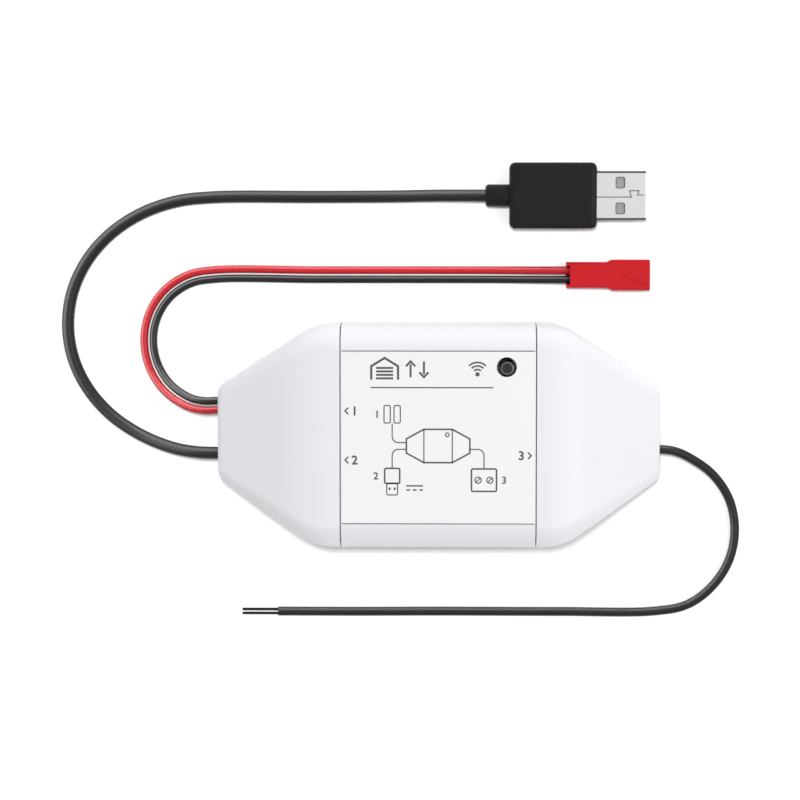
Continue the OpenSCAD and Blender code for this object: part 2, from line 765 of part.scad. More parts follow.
// Two cores from the end of a jacket, up over the board's edge and on to its pads
module board_cores(side, y, d, pitch) {
    for (k = [-1, 1]) tube([
        [side * jacket_x, y + k * pitch / 2, joint_z],
        [side * (jacket_x - 1), y + k * pitch / 2, joint_z],
        [side * rise_x, y + k * pitch / 2, board_top + d / 2 + 0.1],
        [side * pad_x, y + k * pitch / 2, board_top + d / 2 + eps]], d);
}

module power_cores() {
    color("firebrick") board_cores(-1, power_y, power_core_d, power_core_d + 0.3);
}

module signal_board_cores() {
    color("dimgray") board_cores(1, signal_y, signal_core_d, signal_core_d + 0.35);
}

module power_cord() {
    color("black") tube(power_route, power_d);
}

module sensor_wire_red() {
    color("crimson") tube(moved(sensor_route, sensor_pitch / 2), sensor_d);
}

module sensor_wire_black() {
    color("black") tube(moved(sensor_route, -sensor_pitch / 2), sensor_d);
}

module signal_cord() {
    color("black") tube(signal_route, signal_d);
}

// Thin cores that stand out of the signal cord's far end, with round tips
module signal_cores() {
    end = signal_route[len(signal_route) - 1];
    color("black") for (k = [-1, 1])
        translate(end + [0, k * (signal_core_d + 0.35) / 2, 0]) rotate([0, -90, 0]) {
            cylinder(d = signal_core_d, h = signal_core_l - signal_core_d / 2);
            translate([0, 0, signal_core_l - signal_core_d / 2]) sphere(d = signal_core_d);
        }
}

// Rounded section of the grip at x, pulled in by inset
function grip_ring(x, inset) =
    [for (c = [[-1, -1], [-1, 1], [1, 1], [1, -1]], k = [0:grip_steps])
        let (a = atan2(c[1], c[0]) + 45 - 90 * k / grip_steps, r = grip_r - inset / 2)
        [x, c[0] * (grip_w / 2 - inset - r) + r * cos(a), c[1] * (grip_t / 2 - inset - r) + r * sin(a)]];

module plug_grip() {
    arc = [for (a = [0:90 / grip_steps:90]) [grip_r * (1 - cos(a)), grip_r * (1 - sin(a))]];
    color("black") translate(plug_pos) difference() {
        union() {
            translate([neck_l, 0, 0]) skin(concat([for (p = arc) grip_ring(p[0], p[1])],
                [for (p = reversed(arc)) grip_ring(grip_l - p[0], p[1])]));
            rotate([0, 90, 0]) rotate_extrude() polygon(concat(
                [[0, 0]],
                [for (a = [0:22.5:90])
                    [neck_d / 2 - neck_round * (1 - sin(a)), neck_round * (1 - cos(a))]],
                [[neck_d / 2, neck_l + grip_r], [0, neck_l + grip_r]]));
        }
        translate([neck_l + grip_l - shell_root, 0, 0]) shell_outline(insert_gap, shell_root + cut);
    }
}

// Rounded box of the metal shell, grown by gap, from its back end along X
module shell_outline(gap, length) {
    rotate([90, 0, 90]) linear_extrude(length)
        rounded_rect(shell_w + 2 * gap, shell_t + 2 * gap, shell_corner + gap);
}

// Sheet metal shell with two windows on each broad side and a dovetailed seam on top
module plug_shell() {
    front = shell_root + shell_l;
    lock_x = shell_root + 8;
    lock_y = 1.6;
    seam = [[-cut, 0], [lock_x + 0.4, 0], [lock_x - 0.2, lock_y], [lock_x + 2.4, lock_y], [lock_x + 2, 0.5],
            [front + cut, 0.5]];
    color("gainsboro") translate(plug_pos + [neck_l + grip_l - shell_root, 0, 0]) difference() {
        shell_outline(0, front);
        translate([-cut, 0, 0]) rotate([90, 0, 90]) linear_extrude(front + 2 * cut)
            rounded_rect(shell_w - 2 * shell_wall, shell_t - 2 * shell_wall, shell_corner - shell_wall);
        for (y = [-1, 1]) translate([shell_root + window_x + window_l / 2, y * window_y, -shell_t])
            rounded_block(window_l, window_w, 2 * shell_t, window_r);
        translate([0, 0, shell_t / 2 - 2 * shell_wall]) linear_extrude(3 * shell_wall)
            for (i = [0:len(seam) - 2]) strip(seam[i], seam[i + 1], slit);
    }
}

// Insulator along the upper half of the shell
module plug_insert() {
    color("white") translate(plug_pos + [neck_l + grip_l - shell_root, 0, insert_z + insert_t / 2])
        rotate([90, 0, 90]) linear_extrude(shell_root + shell_l - insert_back)
            rounded_rect(shell_w - 2 * (shell_wall + insert_gap), insert_t, shell_corner - shell_wall);
}

// Four contacts on the insulator's inner face
module plug_contacts() {
    color("gold") for (k = [-1.5:1.5])
        translate(plug_pos + [neck_l + grip_l + shell_l - insert_back - contact_l - 1,
            k * contact_pitch - contact_w / 2, insert_z - contact_t])
            cube([contact_l, contact_w, contact_t]);
}

// Outline of the sensor plug at height z, with its long sides pulled in by inset
function plug_ring(z, inset) =
    let (shroud_x = plug_l - shroud_l,
         side = [[0, plug_neck_w / 2 - inset], [shroud_x, plug_neck_w / 2 - inset],
                 [shroud_x + flare_l, plug_w / 2 - inset], [plug_l, plug_w / 2 - inset]])
    concat([for (p = side) [p[0], p[1], z]], [for (p = reversed(side)) [p[0], -p[1], z]]);

// Plug with a flared shroud, a wedge mark on top, two ears at its back and a bore for each wire
module sensor_plug() {
    mark_l = 7;
    mark_h = 0.25;
    ear_l = 0.9;
    ear_w = 0.8;
    low = -plug_t / 2;
    high = plug_t / 2 - mark_h;
    color("red") translate(sensor_plug_pos) difference() {
        union() {
            skin([plug_ring(low, plug_chamfer), plug_ring(low + plug_chamfer, 0),
                  plug_ring(high - plug_chamfer, 0), plug_ring(high, plug_chamfer)]);
            translate([0, 0, high - eps]) linear_extrude(mark_h + eps) polygon([
                [plug_l - mark_l, 0], [plug_l, shroud_wall - plug_w / 2],
                [plug_l, plug_w / 2 - shroud_wall]]);
        }
        translate([-cut, ear_w - plug_neck_w / 2, low + ear_w])
            cube([ear_l + cut, plug_neck_w - 2 * ear_w, plug_t]);
        translate([plug_l - shroud_depth, shroud_wall - plug_w / 2, low + shroud_wall])
            cube([shroud_depth + cut, plug_w - 2 * shroud_wall, high - low - 2 * shroud_wall]);
        for (side = [-1, 1]) translate([-cut, side * sensor_pitch / 2, 0]) rotate([0, 90, 0])
            cylinder(d = sensor_d + 2 * barrel_gap, h = plug_l - shroud_depth + 2 * cut);
    }
}

// Crimped barrels behind the two contact pins
module sensor_pins() {
    barrel_l = plug_l - shroud_depth - entry_l;
    pin_in = 1.2;
    tip = plug_l - entry_l - pin_in;
    color("gold") for (side = [-1, 1])
        translate(sensor_plug_pos + [entry_l, side * sensor_pitch / 2, 0]) rotate([0, 90, 0])
            rotate_extrude() polygon([[0, 0], [sensor_d / 2, 0], [sensor_d / 2, barrel_l],
                [pin_d / 2, barrel_l], [pin_d / 2, tip - pin_d / 2], [pin_d / 5, tip], [0, tip]]);
}

base_shell();
centre_cover();
left_end_cap();
right_end_cap();
face_label();
cap_screws();
circuit_board();
board_screws();
switch_body();
switch_plate();
switch_legs();
push_button();
radio_board();
radio_shield();
relay();
capacitors();
voltage_regulator();
relay_driver();
left_cord_clamp();
right_cord_clamp();
clamp_screws();
power_cores();
signal_board_cores();
power_cord();
plug_grip();
plug_shell();
plug_insert();
plug_contacts();
sensor_wire_red();
sensor_wire_black();
sensor_plug();
sensor_pins();
signal_cord();
signal_cores();
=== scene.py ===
"""Looks of a garage door controller: a white moulded housing, its inner parts and its three leads."""

from math import asin, atan2, cos, hypot, pi, radians, sin, sqrt, tan

import bmesh
import bpy
from bpy.props import FloatProperty, FloatVectorProperty, PointerProperty
from bpy.types import NodeSocket, Operator, Panel, PropertyGroup
from mathutils import Matrix, Vector


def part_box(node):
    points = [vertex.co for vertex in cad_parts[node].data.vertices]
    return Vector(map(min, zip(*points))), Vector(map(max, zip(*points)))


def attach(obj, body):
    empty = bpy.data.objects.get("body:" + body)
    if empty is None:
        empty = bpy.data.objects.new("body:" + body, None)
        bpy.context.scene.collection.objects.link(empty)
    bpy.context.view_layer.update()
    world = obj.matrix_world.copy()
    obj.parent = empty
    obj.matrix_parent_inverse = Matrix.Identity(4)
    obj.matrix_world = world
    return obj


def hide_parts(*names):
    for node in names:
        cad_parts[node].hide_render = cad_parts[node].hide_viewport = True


bl_info = {
    "name": "Garage Door Controller",
    "version": (1, 0, 0),
    "blender": (4, 5, 0),
    "location": "3D View > Sidebar > Controller",
    "description": "Builds a garage door controller with its housing, leads and plugs",
    "category": "Add Mesh",
}

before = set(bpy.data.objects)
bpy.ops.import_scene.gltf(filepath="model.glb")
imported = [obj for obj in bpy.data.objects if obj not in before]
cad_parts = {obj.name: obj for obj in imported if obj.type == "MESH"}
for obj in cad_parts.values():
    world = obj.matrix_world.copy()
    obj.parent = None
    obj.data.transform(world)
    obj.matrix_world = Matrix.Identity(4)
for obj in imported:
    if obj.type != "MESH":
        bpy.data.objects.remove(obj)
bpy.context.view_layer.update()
MM = 0.001

# How far a cutting solid reaches past what it cuts, and lips and tongues past their joints
PAST = 1 * MM
LAP = 3 * MM
# Distance within which points are one, and degrees from which an edge is sharp
MERGE = 0.0005 * MM
SHARP = 30
# Thickness of the smooth outside of a moulding, and depth from which its CAD node makes the inside
SHELL_DEPTH = 0.7 * MM
CORE_DEPTH = 0.5 * MM
SCREW_HEAD_D = 4 * MM
SCREW_HEAD_H = 1.4 * MM
HOLE_D = 4.8 * MM
HOLE_AT = (16.4 * MM, 16.9 * MM)
# Leads that the lamps reach freely, and the lead that lies behind the housing as seen from the lamps
OPEN_LEADS = "open leads"
SCREENED_LEAD = "screened lead"

# Routes of the leads along their middle lines, and their exits, in millimetres
POWER_ROUTE = [
    (-39.2, -5.4, 7), (-54, -5.4, 7), (-60, -5.2, 6.6), (-66, -4.2, 5.2), (-74, -1.2, 3), (-81.5, 3.7, 1.8),
    (-87.2, 10.2, 1.5), (-90.8, 17.8, 1.5), (-92, 26, 1.5), (-90.8, 34.2, 1.5), (-87.2, 41.8, 1.5),
    (-81.5, 48.3, 1.5), (-74, 53.3, 1.5), (-65.3, 56.4, 1.5), (-56, 57.5, 1.5), (-30, 57.6, 1.5),
    (-12, 57.7, 2), (0, 57.9, 3.4), (6.4, 57.9, 4), (11.4, 57.9, 4)]
SENSOR_ROUTE = [
    (-28, 6.4, 9.96), (-32, 6.4, 10.05), (-39.2, 6.4, 7), (-54, 6.4, 7), (-58, 6.3, 6.7), (-62, 7.2, 5.6),
    (-67.3, 10.7, 3.6), (-70.8, 16, 1.9), (-72, 22.2, 1.1), (-70.8, 28.4, 1), (-67.3, 33.7, 1),
    (-62, 37.2, 1), (-55.8, 38.4, 1), (-30, 38.4, 1), (0, 38.4, 1), (16, 38.4, 1.4), (25.4, 38.4, 2.8),
    (34.4, 38.4, 2.8)]
SIGNAL_ROUTE = [
    (39.2, -4.3, 7), (54, -4.3, 7), (58, -4.8, 6.7), (62, -6.6, 5.5), (67.8, -10.9, 3.4), (72.1, -17.4, 1.7),
    (73.5, -25.1, 1.2), (72, -32.8, 1.1), (67.7, -39.3, 1.1), (61.8, -43.6, 1.1), (54, -45.2, 1.1),
    (30, -45.4, 1.1), (0, -45.4, 1.1), (-20, -45.5, 1.1), (-40, -45.5, 1.1)]
POWER_EXIT, SENSOR_EXIT, SIGNAL_EXIT = POWER_ROUTE[1], SENSOR_ROUTE[3], SIGNAL_ROUTE[1]


def length(name, description, millimetres):
    """Property for a length, given in millimetres."""
    return FloatProperty(name=name, description=description, default=millimetres * MM, min=0.0,
                         unit="LENGTH", precision=5)


def colour(name, description, default):
    """Property for a colour."""
    return FloatVectorProperty(name=name, description=description, default=default, size=3,
                               min=0.0, max=1.0, subtype="COLOR")


def point(name, description, default):
    """Property for a point in space."""
    return FloatVectorProperty(name=name, description=description, default=default, size=3,
                               subtype="XYZ", unit="LENGTH")


def power(name, description, watts):
    """Property for the power of a lamp."""
    return FloatProperty(name=name, description=description, default=watts, min=0.0, unit="POWER")


def share(name, description, default):
    """Property for a share of one."""
    return FloatProperty(name=name, description=description, default=default, min=0.0, max=1.0,
                         subtype="FACTOR")


class HousingSettings(PropertyGroup):
    """Sizes and colours of the moulded housing"""
    end_width: length("End width", "Width of each flat end wall", 22.6)
    end_height: length("End height", "Height of the housing at its end walls", 13)
    cap_flat: length("Straight stretch", "Straight stretch of each end cap beside its seam", 1.5)
    side_shoulder: length("Side shoulder", "Radius where the sides of the end caps start to taper", 16)
    face_shoulder: length("Face shoulder", "Radius where the face of the end caps starts to slope", 26)
    edge_radius: length("Edge radius", "Radius along the long edges of the face", 6)
    end_edge_radius: length("End edge radius", "Radius of the same edges at the end walls", 3)
    end_round: length("End round", "Radius around each end wall", 1.2)
    bottom_radius: length("Bottom radius", "Radius around the bottom edge of the base", 2)
    base_step: length("Base step", "How far the base stands back from the covers", 0.15)
    seam_gap: length("Seam gap", "Open gap at each seam beside the centre cover", 0.25)
    softness: length("Edge softness", "Radius of the moulded edges at seams and joint lines", 0.18)
    plastic: colour("Plastic", "Colour of the housing", (0.86, 0.865, 0.895))
    label: colour("Label", "Colour of the label film", (0.93, 0.93, 0.93))
    ink: colour("Ink", "Colour of the print on the label", (0.085, 0.085, 0.09))


class LeadSettings(PropertyGroup):
    """Sizes and colours of the leads"""
    power_diameter: length("Power cord", "Diameter of the power cord", 3)
    sensor_diameter: length("Sensor wires", "Diameter of each sensor wire", 1.9)
    sensor_pitch: length("Sensor pitch", "Distance between the two sensor wires", 2.3)
    signal_diameter: length("Signal cord", "Diameter of the signal cord", 2.2)
    core_diameter: length("Signal cores", "Diameter of a core in the signal cord", 0.65)
    core_pitch: length("Core pitch", "Distance between the two signal cores", 1)
    bare_length: length("Bare cores", "Length of the signal cores past the jacket", 9)
    clearance: length("Clearance", "Clearance around a lead in its exit", 0.1)
    black: colour("Black", "Colour of the black insulation", (0.003, 0.003, 0.0034))
    red: colour("Red", "Colour of the red insulation", (0.58, 0.01, 0.022))


class PlugSettings(PropertyGroup):
    """Sizes and colours of the two plugs"""
    grip_radius: length("Grip radius", "Edge radius of the power plug's grip", 1.4)
    neck_length: length("Neck length", "Length of the neck behind the grip", 5.9)
    neck_diameter: length("Neck diameter", "Diameter of the neck", 5.5)
    neck_round: length("Neck round", "Radius around the neck's back end", 0.9)
    shell_radius: length("Shell radius", "Corner radius of the metal shell", 0.6)
    shell_sheet: length("Shell sheet", "Sheet thickness of the metal shell", 0.3)
    shell_length: length("Shell length", "Length of the metal shell in front of the grip", 12)
    window_length: length("Window length", "Length of a window in the shell", 1.95)
    window_width: length("Window width", "Width of a window in the shell", 2.55)
    seam_width: length("Seam width", "Width of the open seam in the shell", 0.22)
    sensor_neck: length("Sensor plug neck", "Width of the sensor plug behind its shroud", 6.3)
    shroud_length: length("Shroud length", "Length of the sensor plug's shroud", 10.4)
    shroud_depth: length("Shroud depth", "Depth of the opening in the shroud", 9)
    shroud_wall: length("Shroud wall", "Wall thickness of the shroud", 0.9)
    flare: length("Flare", "Length over which the plug widens to its shroud", 1.2)
    chamfer: length("Chamfer", "Width of the slanted faces along the sensor plug", 0.5)
    mark_height: length("Mark height", "Height of the wedge mark on the sensor plug", 0.25)
    grip: colour("Grip", "Colour of the grip", (0.014, 0.0143, 0.0126))
    shell: colour("Shell", "Colour of the plated shell", (0.68, 0.685, 0.675))
    sensor: colour("Sensor plug", "Colour of the sensor plug", (0.6, 0.011, 0.017))


class StageSettings(PropertyGroup):
    """Camera and light"""
    camera_place: point("Camera place", "Where the camera stands", (0.0042, 0.05494, 0.69675))
    camera_aim: point("Camera aim", "Point that the camera looks at", (-0.00964, 0.00725, 0.0))
    camera_angle: FloatProperty(name="Camera angle", description="Angle of view", subtype="ANGLE",
                                default=radians(16.198), min=0.01, max=3.0)
    key_power: power("Key", "Power of the overhead key light", 5.5)
    strip_power: power("Strip", "Power of the strip light behind", 4.4)
    lead_power: power("Lead lights", "Power of each light that shines on the leads alone", 16.0)
    floor_power: power("Floor light", "Power of the light that shines on the floor alone", 10.5)
    ambient: share("Ambient", "Level of the light from all round", 0.6)
    floor_bounce: share("Floor bounce", "Share of the floor's colour that lights the object", 0.64)
    far_lift: share("Far lift", "Extra whiteness of the floor far from the object", 0.85)
    floor: colour("Floor", "Colour of the floor", (0.65, 0.65, 0.65))


def quarter_turn(steps):
    """Angles of a quarter turn in even steps."""
    return [pi / 2 * k / steps for k in range(steps + 1)]


def soft_end(at, soft, way, steps=4):
    """Places from an end at x = at inwards, each with how far the round edge has pulled in there."""
    turns = quarter_turn(steps) if soft else [0.0]
    return [(at + way * soft * (1 - cos(a)), soft * (1 - sin(a))) for a in turns]


def taper_angle(run, drop, r):
    """Angle of a taper that starts on an arc of radius r and drops by drop over run."""
    return asin(r / hypot(run, r - drop)) - atan2(r - drop, run)


def taper_drop(t, r, a):
    """Drop of that taper at distance t from its start."""
    if t <= 0:
        return 0.0
    if t < r * sin(a):
        return r - sqrt(r * r - t * t)
    return r * (1 - cos(a)) + (t - r * sin(a)) * tan(a)


class HousingForm:
    """Outer form of the housing, d being the depth of a surface inside it."""
    shoulder_steps = 26
    straight_steps = 8
    round_steps = 8
    corner_steps = 12
    soft_steps = 4
    least_edge = 0.5 * MM
    least_round = 0.2 * MM
    draft = radians(1.5)

    def __init__(self, s):
        cap_low, cap_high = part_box("right_end_cap")
        self.s = s
        self.end_x, self.side_y = cap_high.x, cap_high.y
        self.cap_x, self.joint_z = cap_low.x, cap_low.z
        self.face_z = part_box("face_label")[1].z
        self.seam_x = self.cap_x - s.seam_gap / 2
        self.taper_x = self.seam_x + s.cap_flat
        run = self.end_x - self.taper_x
        self.side_angle = taper_angle(run, self.side_y - s.end_width / 2, s.side_shoulder)
        self.face_angle = taper_angle(run, self.face_z - s.end_height, s.face_shoulder)

    def half_width(self, x, d):
        """Half of the width at x."""
        return self.side_y - d - taper_drop(x - self.taper_x, self.s.side_shoulder - d, self.side_angle)

    def top(self, x, d):
        """Height of the face at x."""
        return self.face_z - d - taper_drop(x - self.taper_x, self.s.face_shoulder - d, self.face_angle)

    def edge(self, x, d):
        """Radius of the long edges at x."""
        along = max(0.0, min(1.0, (x - self.seam_x) / (self.end_x - self.seam_x)))
        radius = self.s.edge_radius + (self.s.end_edge_radius - self.s.edge_radius) * along
        return max(radius - d, self.least_edge)

    def stations(self, d):
        """Places along a tapered end, each with how far the rounded end wall has pulled in there."""
        reach = max((self.s.side_shoulder - d) * sin(self.side_angle),
                    (self.s.face_shoulder - d) * sin(self.face_angle))
        e = max(self.s.end_round - d, self.least_round)
        bend, last = self.taper_x + reach, self.end_x - d - e
        n, m = self.shoulder_steps, self.straight_steps
        return ([(self.taper_x + reach * k / n, 0.0) for k in range(n)]
                + [(bend + (last - bend) * k / m, 0.0) for k in range(m)]
                + [(last + e * sin(a), e * (1 - cos(a))) for a in quarter_turn(self.round_steps)])

    def outline(self, d):
        """Outline of the housing seen on its face."""
        q = [(x, self.half_width(x, d) - pull) for x, pull in self.stations(d)]
        back = q[::-1]
        return q + [(x, -y) for x, y in back] + [(-x, -y) for x, y in q] + [(-x, y) for x, y in back]

    def arch(self, x, w, h, r, bottom, soft):
        """Section across the housing at x: up one side, over the top and down the other."""
        half = [(w - soft * (1 - sin(a)), bottom + soft * (1 - cos(a)))
                for a in quarter_turn(self.soft_steps)]
        half += [(w - r + r * cos(a), h - r + r * sin(a)) for a in quarter_turn(self.corner_steps)]
        return [(x, y, z) for y, z in half] + [(x, -y, z) for y, z in half[::-1]]

    def cap(self, side, d, start, bottom, soft=0.0):
        """Solid of an end cap from x = start, on the right (side 1) or the left (side -1)."""
        rings = []
        for x, pull in soft_end(start, soft, 1) + self.stations(d):
            w, h = self.half_width(x, d) - pull, self.top(x, d) - pull
            arch = self.arch(x, w, h, self.edge(x, d), bottom, soft)
            rings.append([(side * px, y, z) for px, y, z in arch])
        return skin("end_cap", rings)

    def cover(self, d, end, bottom, soft=0.0):
        """Solid of the centre cover between x = -end and x = end."""
        places = soft_end(end, soft, -1)
        return skin("centre_cover", [
            self.arch(x, self.side_y - d - pull, self.face_z - d - pull, self.s.edge_radius - d, bottom, soft)
            for x, pull in [(-x, pull) for x, pull in places] + places[::-1]])

    def base(self, d, top, soft=0.0):
        """Solid of the base up to z = top, with a round bottom edge and sides that lean out."""
        r = self.s.bottom_radius - d
        levels = [(d + r * (1 - cos(a)), d + r * (1 - sin(a))) for a in quarter_turn(self.round_steps)]
        levels += [(top - soft * (1 - sin(a)), d + soft * (1 - cos(a)))
                   for a in quarter_turn(self.soft_steps)[1:]]
        rings = []
        for z, inset in levels:
            lean = max(0.0, self.joint_z - z) * tan(self.draft)
            rings.append([(x, y, z) for x, y in self.outline(self.s.base_step + inset + lean)])
        return skin("base_shell", rings)


def mesh_object(name, bm):
    """Object that holds the mesh of bm."""
    mesh = bpy.data.meshes.new(name)
    bm.to_mesh(mesh)
    bm.free()
    obj = bpy.data.objects.new(name, mesh)
    bpy.context.scene.collection.objects.link(obj)
    return obj


def add_skin(bm, rings, closed=False):
    """Adds faces over rings of points, with both ends filled unless the last ring meets the first."""
    rows = [[bm.verts.new(p) for p in ring] for ring in rings]
    n = len(rows[0])
    for a, b in zip(rows, rows[1:] + rows[:1] if closed else rows[1:]):
        for j in range(n):
            bm.faces.new((a[j], a[(j + 1) % n], b[(j + 1) % n], b[j]))
    if not closed:
        bm.faces.new(rows[0])
        bm.faces.new(rows[-1])


def skin(name, rings):
    """Closed solid over rings of points."""
    bm = bmesh.new()
    add_skin(bm, rings)
    bmesh.ops.recalc_face_normals(bm, faces=bm.faces)
    return mesh_object(name, bm)


def prism(name, outline, low, high):
    """Solid of a flat outline between two heights."""
    return skin(name, [[(x, y, z) for x, y in outline] for z in (low, high)])


def block(name, low, high):
    """Rectangular solid between two corners."""
    outline = [(low[0], low[1]), (high[0], low[1]), (high[0], high[1]), (low[0], high[1])]
    return prism(name, outline, low[2], high[2])


def rounded_rectangle(wide, high, r, steps=6):
    """Points round a rectangle with round corners, centred on nought."""
    points = []
    for k, (sx, sy) in enumerate(((1, 1), (-1, 1), (-1, -1), (1, -1))):
        for a in quarter_turn(steps):
            t = a + k * pi / 2
            points.append((sx * (wide / 2 - r) + r * cos(t), sy * (high / 2 - r) + r * sin(t)))
    return points


def lathe(name, profile, at, axis="Z", steps=64):
    """Solid turned from a profile of (radius, height) points, whose ends are filled flat."""
    rings = []
    for r, h in profile:
        flat = [(r * cos(2 * pi * k / steps), r * sin(2 * pi * k / steps)) for k in range(steps)]
        ring = [(u, v, h) if axis == "Z" else (h, u, v) for u, v in flat]
        rings.append([Vector(at) + Vector(p) for p in ring])
    return skin(name, rings)


def combine(obj, how, *others):
    """obj with the other solids cut away (DIFFERENCE), added (UNION) or kept in common (INTERSECT)."""
    for other in others:
        step = obj.modifiers.new(how, "BOOLEAN")
        step.operation, step.solver, step.object = how, "MANIFOLD", other
    replace_mesh(obj)
    for other in others:
        bpy.data.meshes.remove(other.data)
    return obj


def replace_mesh(obj):
    """Turns what obj's modifiers make into its own mesh."""
    bpy.context.view_layer.update()
    graph = bpy.context.evaluated_depsgraph_get()
    made = bpy.data.meshes.new_from_object(obj.evaluated_get(graph))
    obj.modifiers.clear()
    old = obj.data
    obj.data = made
    made.name = obj.name
    bpy.data.meshes.remove(old)
    return obj


def cad_copy(node):
    """New object with the merged mesh of a CAD node."""
    bm = bmesh.new()
    bm.from_mesh(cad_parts[node].data)
    bmesh.ops.remove_doubles(bm, verts=bm.verts, dist=MERGE)
    return mesh_object(node + "_copy", bm)


def settle(obj, name, material, nodes, body="housing", sharp=SHARP):
    """Smooths obj up to its sharp edges, gives it its finish and lets it stand for its CAD nodes."""
    bm = bmesh.new()
    bm.from_mesh(obj.data)
    bmesh.ops.remove_doubles(bm, verts=bm.verts, dist=MERGE)
    bmesh.ops.dissolve_degenerate(bm, edges=bm.edges, dist=MERGE)
    for face in bm.faces:
        face.smooth = True
    for edge in bm.edges:
        edge.smooth = edge.calc_face_angle(0.0) < radians(sharp)
    bm.to_mesh(obj.data)
    bm.free()
    even = obj.modifiers.new("Even normals", "WEIGHTED_NORMAL")
    even.keep_sharp = True
    replace_mesh(obj)
    obj.name = obj.data.name = name
    obj.data.materials.clear()
    obj.data.materials.append(material)
    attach(obj, body)
    if nodes:
        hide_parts(*nodes)
    return obj


def dress(node, material, bevel=0.0):
    """Piece in the shape of its CAD node, with flat faces joined up and its sharp edges softened."""
    obj = cad_copy(node)
    bm = bmesh.new()
    bm.from_mesh(obj.data)
    bmesh.ops.dissolve_limit(bm, angle_limit=radians(0.5), verts=bm.verts, edges=bm.edges)
    if bevel:
        edges = [e for e in bm.edges if e.calc_face_angle(0.0) > radians(SHARP)]
        bmesh.ops.bevel(bm, geom=edges, offset=bevel, segments=2, affect="EDGES", profile=0.6,
                        clamp_overlap=True)
    bm.to_mesh(obj.data)
    bm.free()
    return settle(obj, node + "_piece", material, [node])


def add_node(tree, kind, sockets=None, **settings):
    """New node, with sockets set to a value or linked to outputs; returns its first output in use."""
    node = tree.nodes.new(kind)
    for key, value in settings.items():
        setattr(node, key, value)
    for key, value in (sockets or {}).items():
        for source in value if isinstance(value, list) else [value]:
            if isinstance(source, NodeSocket):
                tree.links.new(source, node.inputs[key])
            else:
                node.inputs[key].default_value = source
    return next((output for output in node.outputs if output.enabled), None)


class NodeTree:
    """Geometry Nodes tree under construction, with named inputs for its sizes."""

    def __init__(self, name, **inputs):
        self.tree = bpy.data.node_groups.new(name, "GeometryNodeTree")
        face = self.tree.interface
        self.sockets = {}
        for key, kind in {"geometry": "Geometry", **inputs}.items():
            item = face.new_socket(key.replace("_", " ").capitalize(), in_out="INPUT",
                                   socket_type="NodeSocket" + kind)
            self.sockets[key] = item.identifier
        face.new_socket("Geometry", in_out="OUTPUT", socket_type="NodeSocketGeometry")
        self.entry = self.tree.nodes.new("NodeGroupInput")
        self.exit = self.tree.nodes.new("NodeGroupOutput")

    def __getitem__(self, key):
        """Output of the group input for a named size."""
        return next(output for output in self.entry.outputs if output.identifier == self.sockets[key])

    def add(self, kind, sockets=None, **settings):
        """First output of a new geometry node."""
        return add_node(self.tree, "GeometryNode" + kind, sockets, **settings)

    def math(self, operation, a, b):
        """Result of a sum on two sizes."""
        return add_node(self.tree, "ShaderNodeMath", {0: a, 1: b}, operation=operation)

    def vector(self, x=0.0, y=0.0, z=0.0):
        """Vector of sizes that may be outputs of other nodes."""
        return add_node(self.tree, "ShaderNodeCombineXYZ", {"X": x, "Y": y, "Z": z})

    def raised(self, geometry, z):
        """Geometry moved up."""
        return self.add("Transform", {"Geometry": geometry, "Translation": self.vector(z=z)})

    def close(self, geometry):
        """Ends the tree in plain geometry with the material that its input names."""
        plain = self.add("RealizeInstances", {"Geometry": geometry})
        dressed = self.add("SetMaterial", {"Geometry": plain, "Material": self["material"]})
        self.tree.links.new(dressed, self.exit.inputs[0])
        return self

    def close_on_points(self, instance, **sockets):
        """Ends the tree with an instance on each point of what comes in."""
        points = self.add("MeshToPoints", {"Mesh": self["geometry"]})
        return self.close(self.add("InstanceOnPoints", {"Points": points, "Instance": instance, **sockets}))

    def run(self, name, points, edges=(), **values):
        """Object that the tree makes from points and the edges between them."""
        mesh = bpy.data.meshes.new(name)
        mesh.from_pydata([tuple(p) for p in points], edges, [])
        obj = bpy.data.objects.new(name, mesh)
        bpy.context.scene.collection.objects.link(obj)
        step = obj.modifiers.new("Build", "NODES")
        step.node_group = self.tree
        for key, value in values.items():
            step[self.sockets[key]] = value
        return replace_mesh(obj)


def tube_tree():
    """Tree that sweeps a round lead along a chain of points."""
    t = NodeTree("lead tube", diameter="Float", sides="Int", material="Material")
    path = t.add("MeshToCurve", {"Mesh": t["geometry"]})
    circle = t.add("CurvePrimitiveCircle",
                   {"Resolution": t["sides"], "Radius": t.math("MULTIPLY", t["diameter"], 0.5)})
    return t.close(t.add("CurveToMesh", {"Curve": path, "Profile Curve": circle, "Fill Caps": True}))


